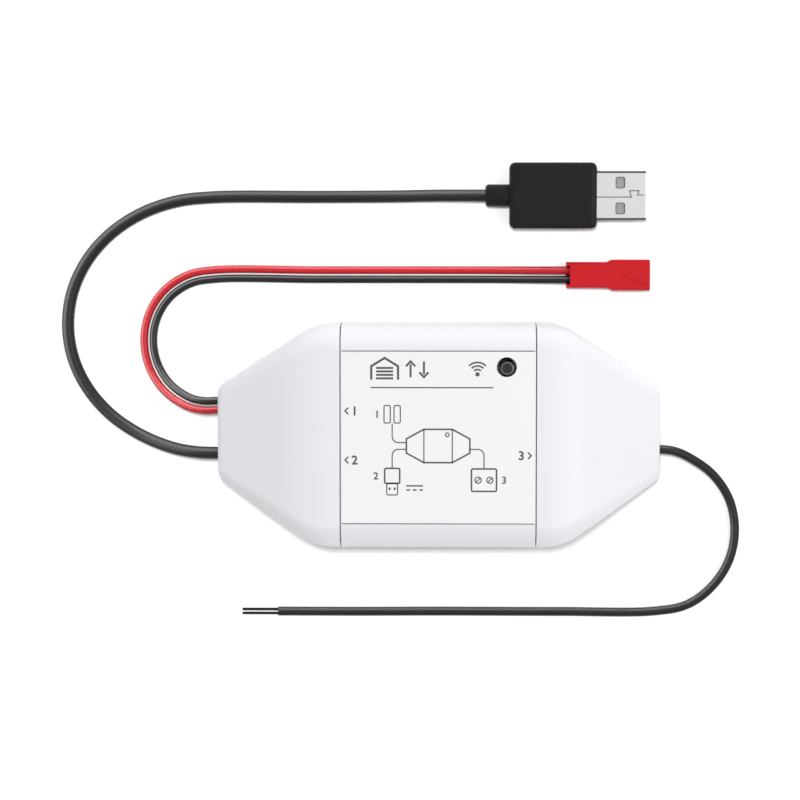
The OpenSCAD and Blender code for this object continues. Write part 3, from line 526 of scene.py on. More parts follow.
def screw_tree():
    """Tree that stands a pan head screw with a cross recess and a thread on each point."""
    t = NodeTree("pan head screws", head_diameter="Float", head_height="Float", shank_diameter="Float",
                 length="Float", pitch="Float", turn="Rotation", material="Material")
    dome, tip, tip_r, recess = 0.45 * MM, 0.8 * MM, 0.1 * MM, 0.7 * MM
    head_r = t.math("MULTIPLY", t["head_diameter"], 0.5)
    core_r = t.math("MULTIPLY", t["shank_diameter"], 0.4)
    ridge_r = t.math("SUBTRACT", t.math("MULTIPLY", t["shank_diameter"], 0.5), core_r)
    rim_h = t.math("SUBTRACT", t["head_height"], dome)
    shank_l = t.math("SUBTRACT", t["length"], tip)
    parts = [("Cylinder", 40, t.math("MULTIPLY", rim_h, 0.5), {"Radius": head_r, "Depth": rim_h}),
             ("Cone", 40, rim_h,
              {"Radius Bottom": head_r, "Radius Top": t.math("SUBTRACT", head_r, dome), "Depth": dome}),
             ("Cylinder", 24, t.math("MULTIPLY", shank_l, -0.5), {"Radius": core_r, "Depth": shank_l}),
             ("Cone", 24, t.math("MULTIPLY", t["length"], -1.0),
              {"Radius Bottom": tip_r, "Radius Top": core_r, "Depth": tip})]
    solids = [t.raised(t.add("Mesh" + kind, {"Vertices": sides, **sizes}), z)
              for kind, sides, z, sizes in parts]
    spiral = t.add("CurveSpiral", {"Resolution": 20, "Rotations": t.math("DIVIDE", shank_l, t["pitch"]),
                                   "Start Radius": core_r, "End Radius": core_r, "Height": shank_l})
    ridge = t.add("CurvePrimitiveCircle", {"Resolution": 4, "Radius": ridge_r})
    thread = t.raised(t.add("CurveToMesh", {"Curve": spiral, "Profile Curve": ridge, "Fill Caps": True}),
                      t.math("MULTIPLY", shank_l, -1.0))
    solid = t.add("MeshBoolean", {"Mesh 2": solids}, operation="UNION", solver="MANIFOLD")
    slot_l = t.math("MULTIPLY", t["head_diameter"], 0.6)
    slots = [t.raised(t.add("MeshCube", {"Size": t.vector(*size, 2 * recess)}), t["head_height"])
             for size in ((slot_l, recess), (recess, slot_l))]
    headed = t.add("MeshBoolean", {"Mesh 1": solid, "Mesh 2": slots}, operation="DIFFERENCE",
                   solver="MANIFOLD")
    return t.close_on_points(t.add("JoinGeometry", {"Geometry": [headed, thread]}), Rotation=t["turn"])


def bar_tree():
    """Tree that puts a flat metal bar on each point."""
    t = NodeTree("metal bars", along="Float", across="Float", high="Float", material="Material")
    return t.close_on_points(t.add("MeshCube", {"Size": t.vector(t["along"], t["across"], t["high"])}))


def mixed(tree, factor, a, b):
    """Output that goes from colour a to colour b."""
    return add_node(tree, "ShaderNodeMix", {"Factor": factor, "A": a, "B": b}, data_type="RGBA")


def surface(name, colour, roughness, grain=0.3, depth=0.004, gloss=0.06, drift=0.1, blotch=12, specular=0.5,
            metallic=0.0, stretch=(1.0, 1.0, 1.0)):
    """Material with a fine relief, uneven gloss and a slight drift of its colour.

    grain and depth are the relief's size and blotch that of the drift's patches, in millimetres, gloss is the
    spread of the roughness, drift that of the colour, and stretch the relief's scale along each axis."""
    material = bpy.data.materials.new(name)
    material.use_nodes = True
    tree = material.node_tree
    shader = tree.nodes["Principled BSDF"].inputs
    for key, value in (("Base Color", (*colour, 1.0)), ("Roughness", roughness),
                       ("Specular IOR Level", specular), ("Metallic", metallic)):
        shader[key].default_value = value
    place = add_node(tree, "ShaderNodeTexCoord").node.outputs["Object"]
    mapped = add_node(tree, "ShaderNodeMapping", {"Vector": place, "Scale": stretch})
    relief = add_node(tree, "ShaderNodeTexNoise", {"Vector": mapped, "Scale": 1 / (grain * MM), "Detail": 3})
    bump = add_node(tree, "ShaderNodeBump", {"Height": relief, "Strength": 1.0, "Distance": depth * MM})
    spread = add_node(tree, "ShaderNodeMapRange", {
        "Value": relief, "From Min": 0.3, "From Max": 0.7,
        "To Min": roughness - gloss, "To Max": roughness + gloss})
    patches = add_node(tree, "ShaderNodeTexNoise", {"Vector": place, "Scale": 1 / (blotch * MM), "Detail": 2})
    dark, light = ((*[min(1.0, c * k) for c in colour], 1) for k in (1 - drift, 1 + drift))
    tint = mixed(tree, patches, dark, light)
    for key, source in (("Normal", bump), ("Roughness", spread), ("Base Color", tint)):
        tree.links.new(source, shader[key])
    return material


def plated(name, colour, roughness):
    """Plated metal with fine drawn lines along it."""
    return surface(name, colour, roughness, grain=0.12, depth=0.0015, drift=0.04, metallic=1.0,
                   stretch=(0.12, 1.0, 1.0))


def paint_light_and_shade(material, colour):
    """Gives a material another colour at the marked points of its mesh: painted light or shade."""
    tree = material.node_tree
    base = tree.nodes["Principled BSDF"].inputs["Base Color"]
    wear = add_node(tree, "ShaderNodeAttribute", attribute_name="wear").node.outputs["Fac"]
    tree.links.new(mixed(tree, wear, base.links[0].from_socket, (*colour, 1)), base)
    return material


def mark_painted_light(mesh, is_painted):
    """Marks the points of a mesh where light or shade is painted into its colour."""
    marks = mesh.attributes.new("wear", "FLOAT", "POINT")
    for mark, vertex in zip(marks.data, mesh.vertices):
        mark.value = 1.0 if is_painted(vertex.co) else 0.0


def smooth_route(points, step=0.9 * MM):
    """Points about a step apart on a smooth curve through the points of a route, in metres."""
    p = [Vector(q) * MM for q in points]
    p = [2 * p[0] - p[1]] + p + [2 * p[-1] - p[-2]]
    path = []
    for a, b, c, d in zip(p, p[1:], p[2:], p[3:]):
        ta = 0.0
        tb = ta + sqrt((b - a).length)
        tc = tb + sqrt((c - b).length)
        td = tc + sqrt((d - c).length)
        n = max(2, round((c - b).length / step))
        for k in range(n):
            t = tb + (tc - tb) * k / n
            ab = a.lerp(b, (t - ta) / (tb - ta))
            bc = b.lerp(c, (t - tb) / (tc - tb))
            cd = c.lerp(d, (t - tc) / (td - tc))
            before, after = ab.lerp(bc, (t - ta) / (tc - ta)), bc.lerp(cd, (t - tb) / (td - tb))
            path.append(before.lerp(after, (t - tb) / (tc - tb)))
    return path + [p[-2]]


def laid(path, diameter):
    """The path kept so high that a lead of that diameter lies on the floor and not in it."""
    return [Vector((p.x, p.y, max(p.z, diameter / 2))) for p in path]


def beside(path, offset):
    """The path moved sideways on the level by an offset."""
    moved = []
    for i, p in enumerate(path):
        ahead = path[min(i + 1, len(path) - 1)] - path[max(i - 1, 0)]
        moved.append(p + Vector((-ahead.y, ahead.x, 0)).normalized() * offset)
    return moved


def chain(count):
    """Edges that join points in a row."""
    return [(k, k + 1) for k in range(count - 1)]


def exit_cutters(form, leads, side):
    """Solids of the leads' passages through one end wall, those of the sensor wires joined up."""
    y, half, r = SENSOR_EXIT[1] * MM, leads.sensor_pitch / 2, leads.sensor_diameter / 2 + leads.clearance
    passages = [(SIGNAL_EXIT[1] * MM, leads.signal_diameter)]
    if side < 0:
        passages = [(POWER_EXIT[1] * MM, leads.power_diameter)]
        passages += [(y + k * half, leads.sensor_diameter) for k in (-1, 1)]
    cutters = []
    for across, diameter in passages:
        bore_r = diameter / 2 + leads.clearance
        cutters.append(lathe("bore", [(bore_r, side * form.seam_x), (bore_r, side * (form.end_x + PAST))],
                             (0, across, form.joint_z), axis="X", steps=40))
    if side < 0:
        cutters.append(block("web", (-form.end_x - PAST, y - half, form.joint_z - r),
                             (-form.seam_x, y + half, form.joint_z + r)))
    return cutters


def screw_places(node):
    """Middles of the four screws of a node, from its box."""
    low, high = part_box(node)
    r = SCREW_HEAD_D / 2
    return [(x, y) for x in (low.x + r, high.x - r) for y in (low.y + r, high.y - r)]


def moulded(s, name, node, outer, hollow, core, *cutters):
    """White piece with a smooth outside and, within core, the inside of its CAD node.

    hollow and the cutters are taken out of the outside first."""
    combine(outer, "DIFFERENCE", hollow, *cutters)
    combine(outer, "UNION", combine(cad_copy(node), "INTERSECT", core))
    white = bpy.data.materials.get("satin white plastic") or surface(
        "satin white plastic", s.plastic, 0.42, grain=0.35, gloss=0.05, drift=0.012, specular=0.4)
    settle(outer, name, white, [node])


class CONTROLLER_OT_base(Operator):
    """Moulded tray with its screw towers, board posts, cord saddles and lip"""
    bl_idname = "controller.base"
    bl_label = "Base"

    def execute(self, context):
        s, leads = context.scene.controller_housing, context.scene.controller_leads
        form = HousingForm(s)
        sink_r, sink_top = SCREW_HEAD_D / 2 + 0.3 * MM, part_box("cap_screws")[0].z + SCREW_HEAD_H
        sinks = [lathe("sink", [(sink_r, -PAST), (sink_r, sink_top)], (x, y, 0.0))
                 for x, y in screw_places("cap_screws")]
        moulded(s, "base", "base_shell", form.base(0.0, form.joint_z, s.softness),
                form.base(SHELL_DEPTH, form.joint_z + PAST), form.base(CORE_DEPTH, form.joint_z + LAP),
                *sinks, *exit_cutters(form, leads, -1), *exit_cutters(form, leads, 1))
        return {"FINISHED"}


class CONTROLLER_OT_cover(Operator):
    """Centre cover with the label's recess and the button's hole"""
    bl_idname = "controller.cover"
    bl_label = "Centre cover"

    def execute(self, context):
        s = context.scene.controller_housing
        form = HousingForm(s)
        recess_y, end = form.side_y - s.edge_radius, form.seam_x + LAP
        recess = block("recess", (-form.seam_x, -recess_y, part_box("face_label")[0].z),
                       (form.seam_x, recess_y, form.face_z + PAST))
        moulded(s, "centre_cover_shell", "centre_cover",
                form.cover(0.0, form.seam_x - s.seam_gap / 2, form.joint_z, s.softness),
                form.cover(SHELL_DEPTH, end, -PAST), form.cover(CORE_DEPTH, end, -PAST),
                recess, hole_cutter(form))
        return {"FINISHED"}


def hole_cutter(form, bevel=0.12 * MM):
    """Solid of the button's hole, with a soft edge at the face."""
    r, top = HOLE_D / 2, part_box("face_label")[1].z
    return lathe("hole", [(r, form.joint_z), (r, top - bevel), (r + bevel, top), (r + bevel, top + PAST)],
                 (*HOLE_AT, 0.0), steps=72)


class CONTROLLER_OT_end_caps(Operator):
    """Two tapered end caps with the exits of the leads"""
    bl_idname = "controller.end_caps"
    bl_label = "End caps"

    def execute(self, context):
        s, leads = context.scene.controller_housing, context.scene.controller_leads
        form = HousingForm(s)
        start, bottom = form.cap_x - PAST, form.joint_z - PAST
        for side, word in ((-1, "left"), (1, "right")):
            moulded(s, word + "_cap", word + "_end_cap",
                    form.cap(side, 0.0, form.cap_x, form.joint_z, s.softness),
                    form.cap(side, SHELL_DEPTH, start, bottom), form.cap(side, CORE_DEPTH, start, bottom),
                    *exit_cutters(form, leads, side))
        return {"FINISHED"}


def add_stroke(bm, points, width, low, high, closed=False):
    """Adds a printed line of even width through points to bm."""
    rings, n = [], len(points)
    for i in range(n):
        before = Vector(points[(i - 1) % n] if closed else points[max(i - 1, 0)])
        after = Vector(points[(i + 1) % n] if closed else points[min(i + 1, n - 1)])
        here = Vector(points[i])
        first = (here - before).normalized() if (here - before).length else (after - here).normalized()
        second = (after - here).normalized() if (after - here).length else first
        mitre = (first + second).normalized()
        side = Vector((-mitre.y, mitre.x)) * width / 2 / max(0.5, mitre.dot(first))
        a, b = here + side, here - side
        rings.append([(a.x, a.y, low), (b.x, b.y, low), (b.x, b.y, high), (a.x, a.y, high)])
    add_skin(bm, rings, closed)


def arc(x, y, r, start=0.0, end=360.0, steps=32):
    """Points on an arc, in the units of its radius."""
    turns = [radians(start + (end - start) * k / steps) for k in range(steps + 1)]
    return [(x + r * cos(a), y + r * sin(a)) for a in turns]


def house(x, y, w, h):
    """Printed lines of a garage: walls and roof, and a slatted door."""
    side, eaves, door = w / 2, y + h * 0.62, w * 0.32
    walls = [(x - side, y), (x - side, eaves), (x, y + h), (x + side, eaves), (x + side, y)]
    slats = [[(x - door, y + h * k), (x + door, y + h * k)] for k in (0.06, 0.22, 0.38, 0.54)]
    return [(walls, 0.55, False)] + [(slat, 0.5, False) for slat in slats]


def box_outline(x, y, w, h):
    """Points round a printed box with its middle at x, y."""
    return [(x + u, y + v) for u, v in rounded_rectangle(w, h, 0.35, 3)]


def label_strokes():
    """Printed lines of the label, in millimetres: points, width and whether the line closes."""
    edge_x, edge_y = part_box("face_label")[1].x / MM - 0.1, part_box("face_label")[1].y / MM - 0.12
    hair, fine, rule, sign, firm, wave, bold = 0.2, 0.28, 0.3, 0.36, 0.4, 0.42, 0.5
    # Lines printed along the label's top and bottom edges, which also stand in as painted shade for the gap
    # beside the film
    strokes = [([(-edge_x, y), (edge_x, y)], hair, False) for y in (-edge_y, edge_y)]
    # Garage and the way its door goes
    strokes += house(-12.8, 13.9, 6.4, 5.2)
    for x, way in ((-6.6, 1), (-3.4, -1)):
        foot, neck, barb, tip = (16.4 + up * way for up in (-1.9, 1.2, 0.7, 1.9))
        strokes += [([(x, foot), (x, neck)], bold, False),
                    ([(x - 1.1, barb), (x, tip), (x + 1.1, barb)], bold, False)]
    strokes += [([(-16.2, 12), (13.2, 12)], rule, False)]
    # Radio sign
    strokes += [(arc(9.4, 15.2, 0.28, steps=16)[:-1], bold, True)]
    strokes += [(arc(9.4, 15.2, r, 45, 135, 16), wave, False) for r in (1.15, 2.0, 2.85)]
    # Plan of the leads
    device = [(-3.4, 4), (3.4, 4), (7.6, 1.7), (7.6, -1.7), (3.4, -4), (-3.4, -4), (-7.6, -1.7), (-7.6, 1.7)]
    strokes += [([(x, y - 2) for x, y in device], firm, True)]
    strokes += [([(x, -6), (x, 2)], fine, False) for x in (-3.4, 3.4)]
    strokes += [(arc(2.2, 0.7, 0.45, steps=20)[:-1], fine, True)]
    leads = [[(-7.6, -1.2), (-9.5, -1.2)] + arc(-9.5, 0.3, 1.5, 270, 180, 8) + [(-11, 3.4)],
             [(-7.6, -2.8), (-9.5, -2.8)] + arc(-9.5, -4.3, 1.5, 90, 180, 8) + [(-11, -7.4)],
             [(7.6, -2.8), (9.5, -2.8)] + arc(9.5, -4.3, 1.5, 90, 0, 8) + [(11, -7.4)]]
    strokes += [(lead, fine, False) for lead in leads]
    # Two halves of the door sensor, the plug, and the two terminals
    strokes += [(box_outline(*box), width, True) for width, box in (
        (fine, (-12.2, 5.6, 1.5, 4.2)), (fine, (-9.8, 5.6, 1.5, 4.2)), (firm, (-11, -9.2, 3.6, 3.6)),
        (fine, (-11, -12.4, 2.6, 2.8)), (firm, (11, -10.2, 6, 5.4)))]
    strokes += [([(x, -12), (x, -12.6)], bold, False) for x in (-11.6, -10.4)]
    strokes += [(arc(x, -10.2, 0.75, steps=24)[:-1], fine, True) for x in (9.6, 12.4)]
    strokes += [([(x - 0.45, -10.65), (x + 0.45, -9.75)], fine, False) for x in (9.6, 12.4)]
    # Sign for direct current
    strokes += [([(-7.6, -11.6), (-3.6, -11.6)], sign, False)]
    strokes += [([(x, -12.6), (x + 0.9, -12.6)], sign, False) for x in (-7.6, -6.05, -4.5)]
    # Arrows to the exits
    strokes += [([(x - 0.8 * way, y + 0.8), (x, y), (x - 0.8 * way, y - 0.8)], sign, False)
                for x, y, way in ((-22.3, 6.4, -1), (-22.3, -5.4, -1), (22.3, -4.3, 1))]
    return strokes


# Digits of the label with their middles and sizes in millimetres
LABEL_NUMERALS = [("1", -20, 6.4, 3.0), ("2", -20, -5.4, 3.0), ("3", 19.9, -4.3, 3.0),
                  ("1", -14.6, 5.6, 2.4), ("2", -14.9, -9.2, 2.4), ("3", 15.8, -10.2, 2.4)]


def add_numeral(bm, digit, x, y, size, low, high):
    """Adds a printed digit with its middle at x, y to bm."""
    text = bpy.data.curves.new("numeral", "FONT")
    text.body, text.size, text.offset = digit, size, size * 0.025
    text.extrude = (high - low) / 2
    obj = bpy.data.objects.new("numeral", text)
    bpy.context.scene.collection.objects.link(obj)
    bpy.context.view_layer.update()
    graph = bpy.context.evaluated_depsgraph_get()
    mesh = bpy.data.meshes.new_from_object(obj.evaluated_get(graph))
    corners = [v.co for v in mesh.vertices]
    middle = [(min(c[k] for c in corners) + max(c[k] for c in corners)) / 2 for k in (0, 1)]
    mesh.transform(Matrix.Translation((x - middle[0], y - middle[1], (low + high) / 2)))
    bm.from_mesh(mesh)
    bpy.data.meshes.remove(mesh)
    bpy.data.curves.remove(text)


class CONTROLLER_OT_label(Operator):
    """Label film with a plain print of numbered leads"""
    bl_idname = "controller.label"
    bl_label = "Label"

    def execute(self, context):
        s = context.scene.controller_housing
        low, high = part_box("face_label")
        ink_t, corner = 0.012 * MM, 0.4 * MM
        ink_low = high.z - 2 * ink_t
        film = prism("film", rounded_rectangle(high.x - low.x, high.y - low.y, corner), low.z, high.z - ink_t)
        combine(film, "DIFFERENCE", hole_cutter(HousingForm(s), bevel=0.05 * MM))
        paper = surface("label film", s.label, 0.36, grain=0.5, depth=0.002, gloss=0.04, drift=0.006,
                        specular=0.4)
        settle(film, "label_film", paper, ["face_label"])
        bm = bmesh.new()
        for points, width, closed in label_strokes():
            add_stroke(bm, [(x * MM, y * MM) for x, y in points], width * MM, ink_low, high.z, closed)
        for digit, x, y, size in LABEL_NUMERALS:
            add_numeral(bm, digit, x * MM, y * MM, size * MM, ink_low, high.z)
        bmesh.ops.recalc_face_normals(bm, faces=bm.faces)
        ink = surface("label ink", s.ink, 0.5, grain=0.2, depth=0.001, gloss=0.08, drift=0.08, blotch=2)
        settle(mesh_object("print", bm), "label_print", ink, [])
        return {"FINISHED"}


class CONTROLLER_OT_button(Operator):
    """Push button and the switch under it"""
    bl_idname = "controller.button"
    bl_label = "Button and switch"
    # Steps of the rim in from the side and down from the top, in millimetres, and the ring of the rim that is
    # painted lighter as a highlight
    rim = [(0.0, 0.36), (0.02, 0.3), (0.14, 0.16), (0.2, 0.13), (0.52, 0.02), (0.56, 0.0)]
    painted_highlight_ring = (0.53, 0.19)

    def execute(self, context):
        low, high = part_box("push_button")
        middle = ((low.x + high.x) / 2, (low.y + high.y) / 2, 0.0)
        flange_r, r = (high.x - low.x) / 2, 1.75 * MM
        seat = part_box("switch_plate")[0].z - 0.03 * MM
        profile = [(flange_r, low.z), (flange_r, seat), (r, seat)]
        profile += [(r - inset * MM, high.z - down * MM) for inset, down in self.rim]
        black = surface("button plastic", (0.007, 0.007, 0.0074), 0.3, grain=0.25, depth=0.003, gloss=0.08,
                        blotch=2, specular=0.42)
        # The rim's ring is painted light grey on the black plastic: a painted highlight.
        button = settle(lathe("button", profile, middle, steps=72), "button", paint_light_and_shade(black, (0.12, 0.12, 0.12)),
                        ["push_button"], "button", sharp=12)
        inner, outer = (r - inset * MM for inset in self.painted_highlight_ring)
        mark_painted_light(button.data, lambda p: inner < hypot(p.x - middle[0], p.y - middle[1]) < outer)
        dark = surface("switch plastic", (0.02, 0.02, 0.021), 0.5, gloss=0.08)
        dress("switch_body", dark, bevel=0.12 * MM)
        steel = plated("switch plate steel", (0.6, 0.6, 0.61), 0.3)
        dress("switch_plate", steel, bevel=0.05 * MM)
        low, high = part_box("switch_legs")
        thick, wide = 0.3 * MM, 0.7 * MM
        places = [(x, y, (low.z + high.z) / 2) for x in (low.x + thick / 2, high.x - thick / 2)
                  for y in (low.y + wide / 2, high.y - wide / 2)]
        legs = bar_tree().run("legs", places, along=thick, across=wide, high=high.z - low.z, material=steel)
        settle(legs, "switch_pins", steel, ["switch_legs"])
        return {"FINISHED"}


class CONTROLLER_OT_screws(Operator):
    """Screws of the end caps, the board and the cord clamps"""
    bl_idname = "controller.screws"
    bl_label = "Screws"

    def execute(self, context):
        steel = plated("screw steel", (0.62, 0.62, 0.63), 0.32)
        tree = screw_tree()
        clamp_edge = 2.2 * MM
        clamps = []
        for node in ("left_cord_clamp", "right_cord_clamp"):
            low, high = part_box(node)
            clamps += [((low.x + high.x) / 2, y) for y in (low.y + clamp_edge, high.y - clamp_edge)]
        for node, places, up in (("cap_screws", screw_places("cap_screws"), False),
                                 ("board_screws", screw_places("board_screws"), True),
                                 ("clamp_screws", clamps, True)):
            low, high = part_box(node)
            seat = high.z - SCREW_HEAD_H if up else low.z + SCREW_HEAD_H
            obj = tree.run(node + "_set", [(x, y, seat) for x, y in places], head_diameter=SCREW_HEAD_D,
                           head_height=SCREW_HEAD_H, shank_diameter=2 * MM, pitch=0.8 * MM,
                           turn=(0.0 if up else pi, 0.0, 0.0), length=high.z - low.z - SCREW_HEAD_H,
                           material=steel)
            settle(obj, node + "_set", steel, [node])
        return {"FINISHED"}


class CONTROLLER_OT_board(Operator):
    """Circuit board, what stands on it and the cord clamps"""
    bl_idname = "controller.board"
    bl_label = "Board and clamps"

    def execute(self, context):
        mask = {"grain": 0.6, "depth": 0.01, "gloss": 0.05, "blotch": 3}
        green = surface("green board", (0.01, 0.09, 0.03), 0.35, drift=0.25, **mask)
        blue = surface("blue board", (0.012, 0.03, 0.12), 0.35, drift=0.2, **mask)
        chip = surface("chip epoxy", (0.015, 0.015, 0.016), 0.6, grain=0.2, depth=0.006, gloss=0.08,
                       drift=0.15)
        sleeve = surface("capacitor sleeve", (0.01, 0.014, 0.06), 0.3, grain=0.4, depth=0.003, gloss=0.08)
        case = surface("relay case", (0.75, 0.42, 0.03), 0.38, grain=0.4, drift=0.06)
        white = surface("clamp nylon", (0.75, 0.75, 0.73), 0.48, grain=0.4, depth=0.006, drift=0.03)
        tin = plated("shield tin", (0.72, 0.72, 0.7), 0.3)
        for node, material, slot, bevel in (
                ("circuit_board", green, "board_green", 0.1), ("radio_board", blue, "radio_blue", 0.0),
                ("radio_shield", tin, "plate_steel", 0.25), ("relay", case, "relay_case", 0.12),
                ("capacitors", sleeve, "capacitor_sleeve", 0.1),
                ("voltage_regulator", chip, "chip_black", 0.05), ("relay_driver", chip, "chip_black", 0.1),
                ("left_cord_clamp", white, "clamp_white", 0.3),
                ("right_cord_clamp", white, "clamp_white", 0.3)):
            dress(node, material, bevel * MM)
        return {"FINISHED"}


class CONTROLLER_OT_leads(Operator):
    """Power cord, twin sensor wires and signal cord, with the cores at their ends"""
    bl_idname = "controller.leads"
    bl_label = "Leads"

    def execute(self, context):
        s = context.scene.controller_leads
        black, dark, red = (
            surface(name, tint, rough, grain=0.5, depth=0.002, gloss=0.04, drift=0.08, blotch=6,
                    specular=specular)
            for name, tint, rough, specular in (("black insulation", s.black, 0.44, 0.26),
                                                ("black wire insulation", s.black, 0.35, 0.3),
                                                ("red wire insulation", s.red, 0.35, 0.3)))
        tube = tube_tree()
        sensor, half = smooth_route(SENSOR_ROUTE), s.sensor_pitch / 2
        bare_cores(s, black)
        board_cores(s, tube, black, red)
        for name, node, path, diameter, material, slot, far_end, on_it, exit_at in (
                ("power_lead", "power_cord", smooth_route(POWER_ROUTE), s.power_diameter, black,
                 "cord_black", "plug", ["grip", "plug_shell_piece", "plug_insert_piece", "plug_contact_set"],
                 POWER_EXIT),
                ("red_sensor_lead", "sensor_wire_red", beside(sensor, half), s.sensor_diameter, red,
                 "wire_red", "connector", ["sensor_plug_piece"], SENSOR_EXIT),
                ("black_sensor_lead", "sensor_wire_black", beside(sensor, -half), s.sensor_diameter, dark,
                 "wire_black", "connector", ["pin_set"], SENSOR_EXIT),
                ("signal_lead", "signal_cord", smooth_route(SIGNAL_ROUTE), s.signal_diameter, black,
                 "cord_black", "bare", ["bare_core_pair"], SIGNAL_EXIT)):
            path = laid(path, diameter)
            obj = tube.run(name, path, chain(len(path)), diameter=diameter, sides=28, material=material)
            settle(obj, name, material, [node], sharp=40)
            light_group(SCREENED_LEAD if node == "signal_cord" else OPEN_LEADS).objects.link(obj)
        return {"FINISHED"}


def bare_cores(s, material):
    """Two thin cores that stand out of the signal cord's far end, with round tips."""
    end = Vector(SIGNAL_ROUTE[-1]) * MM
    r = s.core_diameter / 2
    tip = [(r * cos(a), -s.bare_length + r - r * sin(a)) for a in quarter_turn(6)[:-1]]
    profile = [(r, 0.0)] + tip + [(0.05 * r, -s.bare_length)]
    pair = [lathe("core", profile, end + Vector((0, k * s.core_pitch / 2, 0)), axis="X", steps=20)
            for k in (-1, 1)]
    settle(combine(pair[0], "UNION", pair[1]), "bare_core_pair", material, ["signal_cores"])


def board_cores(s, tube, black, red):
    """Cores from the ends of the jackets up over the board's edge to its pads."""
    board_top, jacket_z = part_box("circuit_board")[1].z, POWER_ROUTE[0][2] * MM
    straight, flat, hover, touch = 1 * MM, 4 * MM, 0.1 * MM, 0.01 * MM
    for node, side, lead_y, diameter, pitch, slots in (
            ("power_cores", -1, POWER_ROUTE[0][1], 1.2 * MM, 1.5 * MM, ("core_black", "core_red")),
            ("signal_board_cores", 1, SIGNAL_ROUTE[0][1], s.core_diameter, s.core_pitch,
             ("core_black", "core_black"))):
        low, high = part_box(node)
        start, pad = (low.x, high.x) if side < 0 else (high.x, low.x)
        for k, slot in zip((-1, 1), slots):
            y, rest = lead_y * MM + k * pitch / 2, board_top + diameter / 2
            route = [(start, y, jacket_z), (start - side * straight, y, jacket_z),
                     (pad + side * flat, y, rest + hover), (pad, y, rest + touch)]
            path = smooth_route([[c / MM for c in p] for p in route])
            name = node + ("_upper" if k > 0 else "_lower")
            material = red if slot == "core_red" else black
            obj = tube.run(name, path, chain(len(path)), diameter=diameter, sides=16, material=material)
            settle(obj, name, material, [node] if k > 0 else [], sharp=40)


class CONTROLLER_OT_power_plug(Operator):
    """Power plug with its moulded grip, metal shell, insulator and contacts"""
    bl_idname = "controller.power_plug"
    bl_label = "Power plug"

    def execute(self, context):
        s = context.scene.controller_plugs
        low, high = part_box("plug_grip")
        axis = Vector((0.0, (low.y + high.y) / 2, (low.z + high.z) / 2))
        back, r, steps = low.x + s.neck_length, s.grip_radius, 8
        run = high.x - back - 2 * r
        places = (soft_end(back, r, 1, 10) + [(back + r + run * k / steps, 0.0) for k in range(1, steps)]
                  + soft_end(high.x, r, -1, 10)[::-1])
        wide, thick = high.y - low.y, high.z - low.z
        grip = skin("grip", [grip_ring(axis, x, wide, thick, r, inset) for x, inset in places])
        neck_r = s.neck_diameter / 2
        neck = [(neck_r - pull, x) for x, pull in soft_end(low.x, s.neck_round, 1, 10)]
        combine(grip, "UNION", lathe("neck", neck + [(neck_r, back + r)], axis, axis="X"))
        root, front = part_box("plug_shell")
        gap, seam_depth = 0.05 * MM, 1.2 * MM
        combine(grip, "DIFFERENCE", skin("pocket", [
            tube_ring(axis, x, front.y - root.y + 2 * gap, front.z - root.z + 2 * gap, s.shell_radius + gap)
            for x in (root.x, high.x + PAST)]))
        settle(grip, "grip", surface("grip plastic", s.grip, 0.42, depth=0.006, specular=0.1),
               ["plug_grip"])
        metal_shell(s, root, front, axis)
        insert = cad_copy("plug_insert")
        combine(insert, "DIFFERENCE", *seam_cutters(s, root, front, axis, front.z - seam_depth))
        settle(insert, "plug_insert_piece", surface("insert plastic", (0.35, 0.35, 0.35), 0.5, drift=0.04),
               ["plug_insert"], sharp=25)
        gold = plated("contact gold", (0.83, 0.62, 0.3), 0.25)
        low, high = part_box("plug_contacts")
        count, width = 4, 1 * MM
        pitch = (high.y - low.y - width) / (count - 1)
        places = [((low.x + high.x) / 2, low.y + width / 2 + k * pitch, (low.z + high.z) / 2)
                  for k in range(count)]
        bars = bar_tree().run("contacts", places, along=high.x - low.x, across=width, high=high.z - low.z,
                              material=gold)
        settle(bars, "plug_contact_set", gold, ["plug_contacts"])
        return {"FINISHED"}


